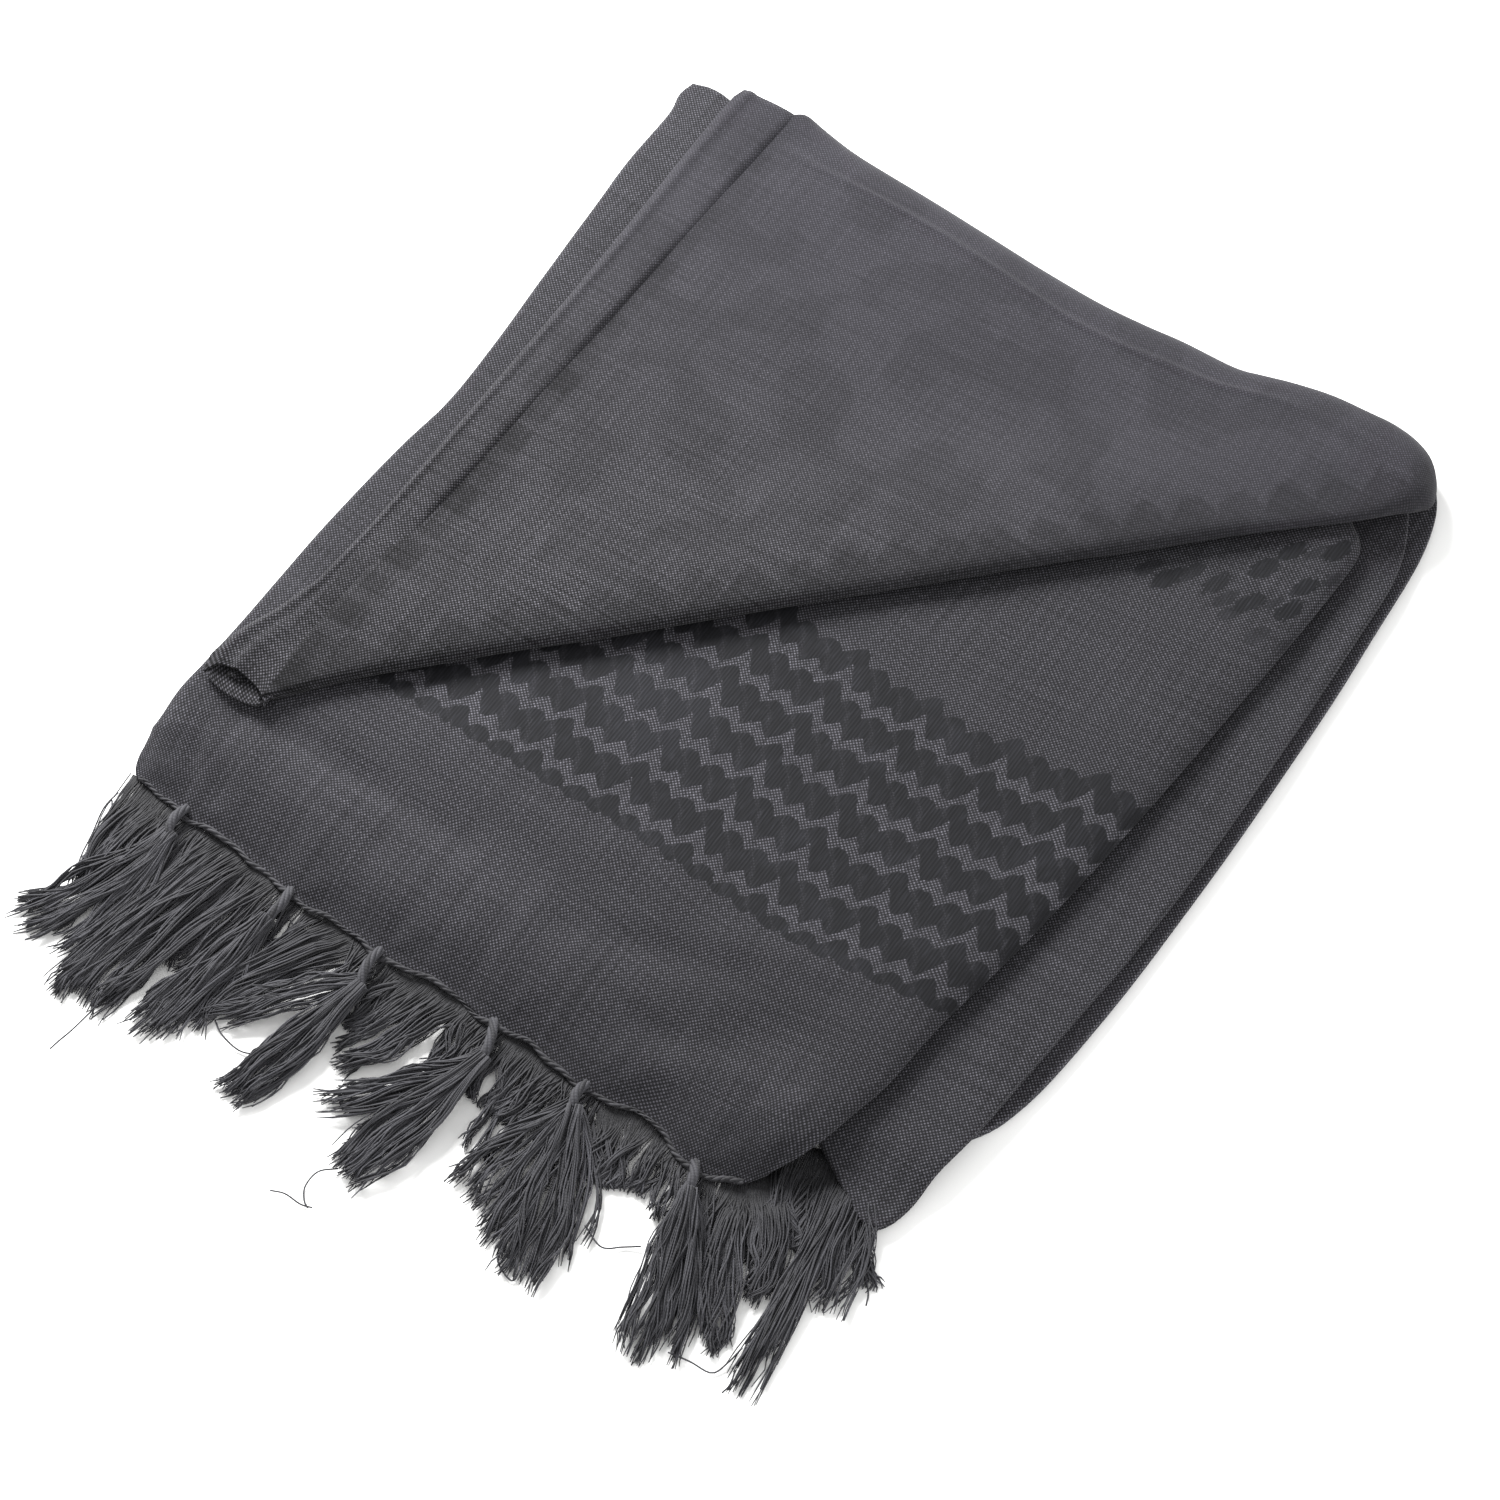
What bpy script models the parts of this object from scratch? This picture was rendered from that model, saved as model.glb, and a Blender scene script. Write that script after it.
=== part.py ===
"""Folded square woven scarf with two fringed ends, lying flat with one corner turned back.

Row frame: +X runs along the fringed hem, +Y from the hem to the far fold, +Z up.
The floor is z = 0 and the origin is on the underside of the lowest folded panel.
All tables are in millimetres and become metres where points are made.
"""
import math

import bmesh
import bpy
import numpy as np

MM = 0.001

# Heights of the folded layers above the floor
BOTTOM_TOP = 3.2
MIDDLE_BOTTOM = 3.9
MIDDLE_TOP = 7.2
STACK_BOTTOM = 7.55
TOP_HEIGHT = 14.0
CLOTH_WALL = 1.4
FLAP_WALL = 1.1
SEAM_GAP = 0.35

# The stack thins toward the hem
FRONT_SINK = 3.4
FRONT_SINK_START = -96.0

# Lift of the turned-back corner over the panel under it
FLAP_REST_LIFT = 2.2
FLAP_ROLL_LIFT = 7.0
FLAP_ROLL_REACH = 46.0
MARGIN_WALL = 1.0

# Steps of the modelled cloth
PANEL_CELLS_X = 18
PANEL_CELLS_Y = 20
FLAP_CELLS_ALONG = 16
FLAP_CELLS_UP = 14
SLAB_POINTS = 76
STACK_POINTS = 60

# Colours of the cloth and its threads
CLOTH_COLOUR = (0.060, 0.061, 0.070, 1.0)
THREAD_COLOUR = (0.048, 0.049, 0.057, 1.0)

# Lowest panel: x, y of its edge, anticlockwise from its near-left corner
BOTTOM_EDGE = (
    (-118, -134), (-60, -135), (0, -135), (60, -134), (88, -130), (110, -127), (124, -125),
    (132, -121), (138, -114), (142, -105), (145.5, -88), (148.4, -56), (149.6, -26), (150.3, 4),
    (150.3, 34), (150, 64), (148.8, 92), (148, 112), (146.8, 125), (144.2, 137), (140, 145.5),
    (134, 152), (126.5, 155.4), (117, 157), (97.6, 156.2), (84.5, 153.8), (75, 151.4), (55, 149.8),
    (38, 149), (19, 148.6), (0, 150), (-19, 152), (-38, 154), (-57, 155.4), (-80, 156),
    (-100, 153), (-120, 151), (-131, 149.5), (-134, 143), (-133, 115), (-130, 90), (-127.5, 50),
    (-124, 10),
    (-125, -20), (-127, -60), (-128, -96), (-126, -122),
)

# Second panel: its right strip and near-right corner show beside the top panel
MIDDLE_EDGE = (
    (-116, -134), (-60, -137), (0, -137), (60, -136), (84, -136.5), (98, -139), (109, -144.5),
    (118, -150.5), (124, -154), (128.5, -154.5), (132, -150), (134, -142), (135, -132),
    (137.4, -118), (138.6, -108), (140.6, -88), (142.6, -68), (144.6, -48), (146.4, -18),
    (147, 20), (146.6, 62), (146, 88), (145.6, 104), (143.4, 117), (138.6, 129), (132.6, 139),
    (125.5, 146), (117, 150), (108, 151.5), (95, 151), (76, 148), (55, 146.4), (38, 145.5),
    (19, 145), (0, 146), (-19, 148), (-38, 150), (-57, 151.5), (-80, 152), (-100, 151),
    (-120, 151), (-131, 150), (-136, 145), (-134, 115), (-131.5, 90), (-129, 50), (-126, 10),
    (-127, -20), (-129, -60), (-129, -96), (-125, -122),
)

# Hidden folded layers: x, y of their widest edge
STACK_EDGE = (
    (-117, -125), (-60, -127), (0, -127), (60, -126), (78, -124), (90, -118), (95, -104),
    (99.5, -80), (105.5, -40), (110, 0), (114, 60), (116.5, 96), (114, 108), (106, 116),
    (92, 122), (61, 126), (23, 127), (-15, 130), (-53, 137), (-82, 143), (-104, 146), (-120, 147.5),
    (-129, 145.5), (-131.5, 138), (-131, 110), (-128, 70), (-125, 30), (-123, 0), (-125, -30),
    (-126, -80), (-125, -110),
)

# Top panel sides: x, y, share of hem drape, share of deep right roll
PANEL_NEAR = (
    (-131, -138, 0.7, 0), (-129, -145, 0.95, 0), (-125.5, -151.4, 1, 0), (-120, -152.2, 1, 0),
    (-112, -152.8, 1, 0), (-103, -154.5, 1, 0),
    (-90, -154.5, 1, 0), (-76, -156, 1, 0), (-64, -159, 1, 0), (-50, -158, 1, 0),
    (-34, -160, 1, 0), (-20, -159, 1, 0), (-6, -158.5, 1, 0), (7, -160.5, 1, 0),
    (22, -159.5, 1, 0), (40, -163, 1, 0), (57, -160, 1, 0), (70, -164, 1, 0), (77, -165.8, 1, 0),
    (84, -165, 1, 0), (91, -163, 1, 0), (97.5, -158.5, 0.75, 0.25),
)
PANEL_RIGHT = (
    (97.5, -158.5, 0.75, 0.25), (102, -151.5, 0.35, 0.65), (105, -143.5, 0.05, 0.95),
    (108, -131, 0, 1), (110.9, -118, 0, 1), (113, -96, 0, 1), (117.5, -70, 0, 1), (121, -45, 0, 1), (124, -20, 0, 1),
    (126.5, 5, 0, 1), (129, 35, 0, 1), (131.5, 65, 0, 1), (133.5, 100, 0, 1), (132, 110, 0, 0.9),
    (126, 116, 0, 0.5),
)
PANEL_FAR = (
    (126, 116, 0, 0.5), (116, 121, 0, 0), (99, 125, 0, 0), (61, 129, 0, 0), (23, 131, 0, 0),
    (-15, 133, 0, 0), (-53, 137, 0, 0), (-82, 138.5, 0, 0), (-97, 139, 0, 0),
    (-110, 146, 0, 0), (-121, 151, 0, 0), (-129, 152, 0, 0), (-135.5, 150.2, 0, 0),
)
PANEL_LEFT = (
    (-135.5, 150.2, 0, 0), (-136.6, 144, 0, 0), (-134.8, 135, 0, 0), (-134.6, 113, 0, 0),
    (-132.5, 90, 0, 0),
    (-130, 60, 0, 0), (-127, 28, 0, 0), (-126, 2, 0, 0), (-128, -20, 0, 0), (-129.5, -60, 0, 0),
    (-131, -96, 0, 0), (-132.3, -112, 0.1, 0), (-132.4, -125, 0.35, 0), (-131, -138, 0.7, 0),
)

# How the top panel turns at its edge: inset from the edge and height over the top
HEM_DRAPE = ((27, 0), (20, -1.0), (14, -3.1), (9, -6.0), (5, -9.0), (2, -11.5), (0, -12.5))
RIGHT_ROLL = ((10, 0), (3.4, -0.2), (1.0, -1.1), (0, -2.8), (0.9, -4.5), (3.2, -5.5), (10, -5.6))
SIDE_FOLD = ((10, 0), (2.7, -0.15), (0.8, -0.8), (0, -2.1), (0.7, -3.4), (2.6, -4.1), (7, -4.2))

# Soft troughs and ridges of the top panel: start, end, half width, height
PANEL_CREASES = (
    (-50, -112, 36, -116, 11, -0.75),
    (34, -152, 74, -126, 8, -0.65),
    (56, -152, 92, -128, 8, 0.5),
    (-113, -120, -102, -142, 4.5, -0.8),
    (-104, -118, -94, -140, 5, 0.45),
    (-80, -96, -20, -98, 10, 0.35),
    (70, 0, 116, 14, 16, 0.4),
)

# Turned-back corner: its diagonal fold, far side, short far-left side and left side.
# Columns: x, y, share of far drape, share of diagonal roll
FLAP_DIAGONAL = (
    (-106, -117, 0, 1), (-91, -101, 0, 1), (-72, -82, 0, 1), (-53, -63, 0, 1),
    (-34, -45, 0, 1), (-15, -26, 0, 1), (4, -7, 0, 1), (23, 12, 0, 1), (42, 31, 0, 1),
    (61, 50, 0, 1), (80, 68, 0, 1), (99, 87, 0, 1), (116, 103, 0, 1), (127, 113, 0, 1), (134.5, 120.5, 0.2, 0.75),
    (140.5, 128, 0.6, 0.35),
)
FLAP_FAR = (
    (140.5, 128, 0.6, 0.35), (142.8, 136, 0.85, 0), (140.6, 144, 1, 0), (135.8, 150.8, 1, 0),
    (129, 155, 1, 0), (120, 157.4, 1, 0), (110.7, 157.8, 1, 0), (97.6, 157.6, 1, 0),
    (84.5, 155.3, 1, 0), (75, 152.8, 1, 0), (66.7, 151, 1, 0), (48.8, 151.2, 1, 0),
    (36, 150.4, 1, 0), (19, 150, 1, 0), (0, 151.4, 1, 0), (-19, 153.4, 1, 0), (-38, 155.2, 1, 0),
)
FLAP_SHORT = (
    (-38, 155.2, 1, 0), (-57, 156.8, 1, 0), (-76, 158, 1, 0), (-90, 159, 0.9, 0),
    (-97, 158.5, 0.5, 0), (-101, 154, 0.1, 0),
)
FLAP_LEFT = (
    (-101, 154, 0.1, 0), (-101.7, 144, 0, 0), (-102.8, 97, 0, 0), (-104, 47, 0, 0),
    (-105, 17, 0, 0), (-106, -23, 0, 0), (-106.6, -60, 0, 0), (-106.6, -100, 0, 0),
    (-106, -117, 0, 1),
)
DIAGONAL_ROLL = ((9, 0), (4, -0.3), (1.1, -1.4), (0, -3.3), (1.0, -5.2), (3.6, -6.4), (13, -6.5))
FAR_DRAPE = ((16, 0), (12, -0.9), (8.4, -2.7), (5.4, -5.2), (3.0, -7.7), (1.2, -9.7), (0.5, -11.0))
PLAIN_EDGE = ((6, 0), (4.6, 0), (3.4, 0), (2.4, 0), (1.4, -0.1), (0.6, -0.3), (0.1, -0.6))

FLAP_TIP = (-106, -117, 42)

# Turned margin along the flap's left side: y, left x, right x, height
MARGIN_SECTIONS = (
    (-112.8, -126, -107.8, 3.4), (-108.5, -127.3, -107.6, 4.2), (-101, -125.5, -107.8, 4.4),
    (-90, -121, -107.6, 4.4), (-74, -117, -107.6, 4.2), (-50, -116, -107.4, 4.0),
    (-20, -116, -106.6, 4.0), (15, -116.2, -105.8, 4.0), (50, -116.6, -104.8, 4.0),
    (85, -117.4, -103.9, 4.0), (120, -118.8, -103.1, 4.0), (142, -119.6, -102.6, 3.8),
    (150.5, -119.6, -102.4, 3.4), (154.6, -118.6, -102.8, 2.7),
)
MARGIN_LIP = 2.4

# Tassels knotted on the top hem: knot x and y, tip x and y, tip width, bow, locks across
KNOT_TASSELS = (
    (-106.8, -150.7, -123, -207, 13, -4, 6),
    (-65.0, -155.2, -68.5, -220, 12, 4, 6),
    (-33.0, -157.1, -38, -221, 13, 3, 6),
    (6.6, -157.6, 0, -221, 16, 4, 7),
    (40.0, -159.1, 54, -218, 20, -3, 7),
    (77.9, -161.9, 97, -223, 17, -1, 7),
)

# Loose fringe of the layers below. Columns: root left x, y, root right x, y, tip centre x, tip y,
# tip width, locks, y of its long locks, where they start and end across, from -1 to 1
LOOSE_FRINGE = (
    (-124.2, -151.6, -113.2, -153.0, -119, -178, 14, 6, -178, 0, 0),
    (-100.7, -155.1, -72.7, -157.1, -88, -190, 27, 11, -220, -1, 0.35),
    (-57.1, -159.1, -40.1, -159.9, -54, -204, 13, 6, -208, -0.4, 0.5),
    (-26.8, -160.5, 0.2, -159.9, -16, -184, 26, 11, -207, -0.6, 0.25),
    (13.6, -161.0, 34.1, -162.4, 27, -184, 23, 9, -208, 0.3, 1),
    (46.4, -163.5, 72.4, -165.1, 60, -185, 27, 10, -185, 0, 0),
    (84.9, -165.3, 93.9, -162.3, 96, -190, 8, 4, -190, 0, 0),
    (93.2, -158.0, 98.2, -153.4, 106.5, -204, 8.5, 4, -204, 0, 0),
    (108.8, -145.9, 115.8, -149.1, 116, -188, 8, 4, -188, 0, 0),
    (119.8, -151.2, 124.6, -154.8, 126.5, -212, 8, 4, -212, 0, 0),
    (124.8, -155.6, 129.8, -154.4, 136, -181, 9, 4, -181, 0, 0),
)
STRIP_HEIGHT = 1.5
STRIP_DEPTH = 1.6
KNOT_LENGTH = 6.0
KNOT_HALF = 2.1
FLOOR_CLEARANCE = 0.3


def smoothstep(value):
    """Soft ramp from 0 to 1."""
    value = min(max(value, 0.0), 1.0)
    return value * value * (3.0 - 2.0 * value)


def even_side(table, cells):
    """Points along an open side at even steps, through a rounded curve."""
    rows = np.array(table, dtype=float)
    padded = np.vstack([2 * rows[0] - rows[1], rows, 2 * rows[-1] - rows[-2]])
    fine = []
    for k in range(1, len(padded) - 2):
        a, b, c, d = padded[k - 1], padded[k], padded[k + 1], padded[k + 2]
        for t in np.linspace(0.0, 1.0, 8, endpoint=False):
            fine.append(0.5 * (2 * b + (c - a) * t + (2 * a - 5 * b + 4 * c - d) * t ** 2
                               + (3 * b - a - 3 * c + d) * t ** 3))
    fine.append(rows[-1])
    fine = np.array(fine)
    steps = np.hypot(*np.diff(fine[:, :2], axis=0).T)
    length = np.concatenate([[0.0], np.cumsum(steps)])
    wanted = np.linspace(0.0, length[-1], cells + 1)
    return np.column_stack([np.interp(wanted, length, fine[:, k]) for k in range(fine.shape[1])])


def even_loop(table, count):
    """Closed outline through a table's points, at even steps."""
    rows = list(table) + [table[0]]
    return even_side(rows, count)[:-1, :2]


def inward_normals(loop, passes):
    """Directions that point into an anticlockwise loop, softened at its corners."""
    tangent = np.roll(loop, -1, axis=0) - np.roll(loop, 1, axis=0)
    normal = np.column_stack([-tangent[:, 1], tangent[:, 0]])
    normal /= np.linalg.norm(normal, axis=1)[:, None]
    for _ in range(passes):
        normal = np.roll(normal, 1, axis=0) + 2 * normal + np.roll(normal, -1, axis=0)
        normal /= np.linalg.norm(normal, axis=1)[:, None]
    return normal


def crease_height(x, y):
    """Height of the soft troughs and ridges at a place on the top panel."""
    total = 0.0
    for x0, y0, x1, y1, half, height in PANEL_CREASES:
        dx, dy = x1 - x0, y1 - y0
        t = ((x - x0) * dx + (y - y0) * dy) / (dx * dx + dy * dy)
        t = min(max(t, 0.0), 1.0)
        away = math.hypot(x - x0 - t * dx, y - y0 - t * dy)
        total += height * math.exp(-(away / half) ** 2)
    return total


def panel_height(x, y):
    """Height of the top panel's upper face away from its edges."""
    swell = 0.5 * math.cos(x / 58.0) * math.cos((y + 20.0) / 74.0)
    front = FRONT_SINK * smoothstep((FRONT_SINK_START - y) / 46.0) * smoothstep((104.0 - x) / 34.0)
    return TOP_HEIGHT + swell - front + crease_height(x, y)


def diagonal_place(x, y):
    """Distance of a place on the flap from its diagonal fold, and x where it meets the fold."""
    x0, y0 = FLAP_DIAGONAL[0][:2]
    x1, y1 = FLAP_DIAGONAL[-1][:2]
    run = math.hypot(x1 - x0, y1 - y0)
    dx, dy = (x1 - x0) / run, (y1 - y0) / run
    away = (y - y0) * dx - (x - x0) * dy
    foot = (x - x0) * dx + (y - y0) * dy
    return away, x0 + foot * dx


def roll_lift(x):
    """Lift of the flap's diagonal fold, which thins toward both of its ends."""
    tip = 1.0 - 0.62 * smoothstep((x - 84.0) / 50.0) - 0.5 * smoothstep((-72.0 - x) / 34.0)
    return FLAP_REST_LIFT + (FLAP_ROLL_LIFT - FLAP_REST_LIFT) * tip


def roll_size(x, y):
    """Size of the diagonal roll at a place on it, as a share of its collar's table."""
    foot = diagonal_place(x, y)[1]
    return (roll_lift(foot) - SEAM_GAP - 0.2) / -DIAGONAL_ROLL[-1][1]


def full_size(x, y):
    """A collar that keeps its table's size."""
    return 1.0


def flap_height(x, y):
    """Height of the flap's upper face, raised where its diagonal fold rolls."""
    away, foot = diagonal_place(x, y)
    near = 1.0 - smoothstep((away - 15.0) / FLAP_ROLL_REACH)
    lift = FLAP_REST_LIFT + (roll_lift(foot) - FLAP_REST_LIFT) * near
    ripple = 0.2 * math.sin(0.055 * (x + 1.3 * y)) + 0.15 * math.sin(0.09 * (x - y) + 1.0)
    return panel_height(x, y) + lift + ripple * (1.0 - near)


def material(name, colour):
    """Plain woven cotton."""
    made = bpy.data.materials.new(name)
    made.use_nodes = True
    shader = made.node_tree.nodes["Principled BSDF"]
    shader.inputs["Base Color"].default_value = colour
    shader.inputs["Roughness"].default_value = 0.9
    shader.inputs["Metallic"].default_value = 0.0
    made.diffuse_color = colour
    return made


def mesh_object(name, points, faces, colour, home):
    """Object from points in millimetres, with its faces turned outward."""
    mesh = bpy.data.meshes.new(name)
    mesh.from_pydata([tuple(c * MM for c in p) for p in points], [], faces)
    mesh.update()
    body = bpy.data.objects.new(name, mesh)
    home.objects.link(body)
    mesh.materials.append(material(name + "_cloth", colour))
    shaped = bmesh.new()
    shaped.from_mesh(mesh)
    if all(edge.is_manifold for edge in shaped.edges):
        bmesh.ops.recalc_face_normals(shaped, faces=shaped.faces[:])
    shaped.to_mesh(mesh)
    shaped.free()
    mesh.shade_smooth()
    return body


def slab(name, edge, profile, height, colour, home, count, passes, crown=False):
    """Closed panel lofted through rings set in from one outline, a flat cap or a crown above."""
    loop = even_loop(edge, count)
    normal = inward_normals(loop, passes)
    points, faces = [], []
    for inset, level in profile:
        ring = loop + normal * inset
        points.extend((x, y, height(x, y, level)) for x, y in ring)
    for k in range(len(profile) - 1):
        for m in range(count):
            n = (m + 1) % count
            faces.append((k * count + m, k * count + n, (k + 1) * count + n, (k + 1) * count + m))
    last = (len(profile) - 1) * count
    faces.append(tuple(range(count - 1, -1, -1)))
    if not crown:
        faces.append(tuple(range(last, last + count)))
        return mesh_object(name, points, faces, colour, home)
    before = last
    middle = loop.mean(axis=0)
    for shrink in (0.75, 0.5, 0.25):
        here = len(points)
        for k in range(count):
            x, y, z = points[last + k]
            x = middle[0] + (x - middle[0]) * shrink
            y = middle[1] + (y - middle[1]) * shrink
            points.append((x, y, height(x, y, profile[-1][1])))
        for m in range(count):
            n = (m + 1) % count
            faces.append((before + m, before + n, here + n, here + m))
        before = here
    points.append((middle[0], middle[1], height(middle[0], middle[1], profile[-1][1])))
    for m in range(count):
        faces.append((before + m, before + (m + 1) % count, len(points) - 1))
    return mesh_object(name, points, faces, colour, home)


def bottom_height(x, y, level):
    """Lowest panel: a fuller rolled edge on the right, a flat underside."""
    puff = 0.35 * smoothstep((x - 90.0) / 40.0) * math.sin(math.pi * min(level / 3.4, 1.0))
    return level + (puff if level > 1.0 else 0.0)


def middle_height(x, y, level):
    """Second panel: its near-right corner sinks past the panel under it to the floor."""
    sink = 3.3 * smoothstep((-129.0 - y) / 15.0) * smoothstep((x - 92.0) / 14.0)
    right = smoothstep((x - 118.0) / 14.0)
    puff = (0.3 + 0.3 * math.sin(y / 17.0)) * right if level > 7.0 else 0.0
    return level - sink + puff


def stack_height(x, y, level):
    """Hidden layers: plain levels at the edge, the top panel's form over the middle."""
    rise = smoothstep((level - 9.0) / 2.5)
    wave = panel_height(x, y) - TOP_HEIGHT
    return level + rise * min(wave, 0.9)


def collared_sheet(name, sides, collars, height, base, size, pinch, wall, cells, colour, home):
    """Cloth sheet: a grid inside four sides, and rings round it that turn its edge down or under.

    Each collar is a table of inset and drop. The sides' extra columns say how much of the second
    and third collar a place on the edge takes; the first collar takes the rest. Where a base
    height is given, the surface's waves fade as it turns down. Collars narrow near a pinched tip.
    """
    near = even_side(sides[0], cells[0])
    right = even_side(sides[1], cells[1])
    far = even_side(sides[2], cells[0])
    left = even_side(sides[3], cells[1])
    loop = np.vstack([near[:-1], right[:-1], far[:-1], left[:-1]])
    normal = inward_normals(loop[:, :2], 3)
    share = np.clip(loop[:, 2:4], 0.0, 1.0)
    first = np.clip(1.0 - share.sum(axis=1), 0.0, 1.0)
    count = len(loop)
    scale = np.array([size(x, y) for x, y in loop[:, :2]])
    rings = []
    for w in range(len(collars[0])):
        mix = [first[:, None] * np.array(collars[0][w])]
        mix.append(share[:, 0:1] * np.array(collars[1][w]))
        mix.append(share[:, 1:2] * scale[:, None] * np.array(collars[2][w]))
        blend = sum(mix)
        near_tip = [smoothstep(math.hypot(x - pinch[0], y - pinch[1]) / pinch[2])
                    for x, y in loop[:, :2]]
        narrow = 0.3 + 0.7 * np.array(near_tip)
        flat = loop[:, :2] + normal * (blend[:, 0] * narrow)[:, None]
        ring = []
        for (x, y), drop in zip(flat, blend[:, 1]):
            wave = height(x, y) - base
            ring.append((x, y, base + wave * (1.0 - min(-drop / 12.0, 1.0) * (base > 0)) + drop))
        rings.append(ring)
    inner = np.array(rings[0])[:, :2]
    nx, ny = cells
    n_side = inner[:nx + 1]
    r_side = inner[nx:nx + ny + 1]
    f_side = inner[nx + ny:2 * nx + ny + 1][::-1]
    l_side = np.vstack([inner[2 * nx + ny:], inner[:1]])[::-1]
    points, index = [], {}
    for j in range(ny + 1):
        t = j / ny
        for i in range(nx + 1):
            s = i / nx
            blend = (1 - t) * n_side[i] + t * f_side[i] + (1 - s) * l_side[j] + s * r_side[j]
            blend = blend - (1 - s) * (1 - t) * n_side[0] - s * (1 - t) * n_side[-1]
            blend = blend - (1 - s) * t * f_side[0] - s * t * f_side[-1]
            x, y = blend
            index[i, j] = len(points)
            points.append((x, y, height(x, y)))
    border = [index[i, 0] for i in range(nx)] + [index[nx, j] for j in range(ny)]
    border += [index[i, ny] for i in range(nx, 0, -1)] + [index[0, j] for j in range(ny, 0, -1)]
    faces = []
    for j in range(ny):
        for i in range(nx):
            faces.append((index[i, j], index[i + 1, j], index[i + 1, j + 1], index[i, j + 1]))
    before = border
    for k, spot in enumerate(border):
        points[spot] = rings[0][k]
    for ring in rings[1:]:
        start = len(points)
        points.extend(ring)
        here = list(range(start, start + count))
        for m in range(count):
            n = (m + 1) % count
            faces.append((before[n], before[m], here[m], here[n]))
        before = here
    body = mesh_object(name, points, faces, colour, home)
    shell = body.modifiers.new("cloth wall", "SOLIDIFY")
    shell.thickness = wall * MM
    shell.offset = -1.0
    shell.use_even_offset = False
    return body


def margin_tube(name, colour, home):
    """Flap margin turned under and flattened: an open sleeve whose lower lip reaches further."""
    around = 14
    points, faces = [], []
    for k, (y, x0, x1, tall) in enumerate(MARGIN_SECTIONS):
        middle, half = (x0 + x1) / 2.0, (x1 - x0) / 2.0
        for m in range(around):
            turn = 2.0 * math.pi * m / around
            across = math.copysign(abs(math.cos(turn)) ** 0.62, math.cos(turn))
            up = math.copysign(abs(math.sin(turn)) ** 0.8, math.sin(turn))
            dent = 0.14 * math.cos(turn * 2.0 + 0.5) if up > 0 else 0.0
            x = middle + half * across
            base = panel_height(min(max(x, -124.0), 120.0), y) + SEAM_GAP
            z = base + tall * (0.5 + 0.5 * up * (1.0 + dent))
            lip = 0.0
            if k == 0:
                lip = -MARGIN_LIP * (0.5 - 0.5 * up) - 0.5 * math.cos(3.0 * across)
            points.append((x, y + lip, z))
    for k in range(len(MARGIN_SECTIONS) - 1):
        for m in range(around):
            n = (m + 1) % around
            a, b = k * around, (k + 1) * around
            faces.append((a + m, b + m, b + n, a + n))
    last = (len(MARGIN_SECTIONS) - 1) * around
    faces.append(tuple(range(last, last + around)))
    body = mesh_object(name, points, faces, colour, home)
    shaped = bmesh.new()
    shaped.from_mesh(body.data)
    bmesh.ops.recalc_face_normals(shaped, faces=shaped.faces[:])
    shaped.to_mesh(body.data)
    shaped.free()
    shell = body.modifiers.new("cloth wall", "SOLIDIFY")
    shell.thickness = MARGIN_WALL * MM
    shell.offset = -1.0
    return body


def lock_grid(locks):
    """Edges between lock cells and gap cells across a brush, from -1 to 1."""
    widths = []
    for k in range(locks):
        widths.append(1.0)
        if k < locks - 1:
            widths.append(0.38)
    edges = np.concatenate([[0.0], np.cumsum(widths)])
    return 2.0 * edges / edges[-1] - 1.0


def brush(name, place, rows, locks, heads, stations, colour, home):
    """Threads in locks that grow out of one head.

    place(u, s, t) gives a point at u along the locks, s across and t up, both from -1 to 1.
    heads lists u and the head's size there, from the front of the head back to its root.
    """
    across = lock_grid(locks)
    upward = lock_grid(rows) if rows > 1 else np.array([-1.0, 1.0])
    nx, nz = len(across) - 1, len(upward) - 1
    points, faces, index = [], [], {}
    for j, t in enumerate(upward):
        for i, s in enumerate(across):
            index[i, j] = len(points)
            points.append(place(0.0, s, t, 1.0))
    border = [(i, 0) for i in range(nx)] + [(nx, j) for j in range(nz)]
    border += [(i, nz) for i in range(nx, 0, -1)] + [(0, j) for j in range(nz, 0, -1)]
    before = [index[key] for key in border]
    for u, round_it, size in heads:
        here = []
        for i, j in border:
            s, t = across[i], upward[j]
            radius = math.hypot(s, t)
            grow = (1.0 - round_it) + round_it / max(radius, 0.001) * 1.08
            here.append(len(points))
            points.append(place(u, s * grow * size, t * grow * size, 1.0))
        for m in range(len(border)):
            n = (m + 1) % len(border)
            faces.append((before[m], before[n], here[n], here[m]))
        before = here
    faces.append(tuple(before))
    for j in range(nz):
        for i in range(nx):
            ring = [index[i, j], index[i + 1, j], index[i + 1, j + 1], index[i, j + 1]]
            if i % 2 or j % 2:
                faces.append(tuple(ring))
                continue
            s0, s1, t0, t1 = across[i], across[i + 1], upward[j], upward[j + 1]
            sm, tm = (s0 + s1) / 2.0, (t0 + t1) / 2.0
            sh, th = (s1 - s0) / 2.0, (t1 - t0) / 2.0
            reach = 1.0 - 0.10 * (0.5 + 0.5 * math.sin(5.3 * i + 3.1 * j + 0.7 * locks))
            for u, slim in stations:
                corners = ((-1, -1), (1, -1), (1, 1), (-1, 1))
                here = []
                for a, b in corners:
                    here.append(len(points))
                    points.append(place(u * reach, sm + a * sh * slim, tm + b * th * slim, slim))
                for m in range(4):
                    n = (m + 1) % 4
                    faces.append((ring[m], ring[n], here[n], here[m]))
                ring = here
            faces.append(tuple(ring))
    return mesh_object(name, points, faces, colour, home)


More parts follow.
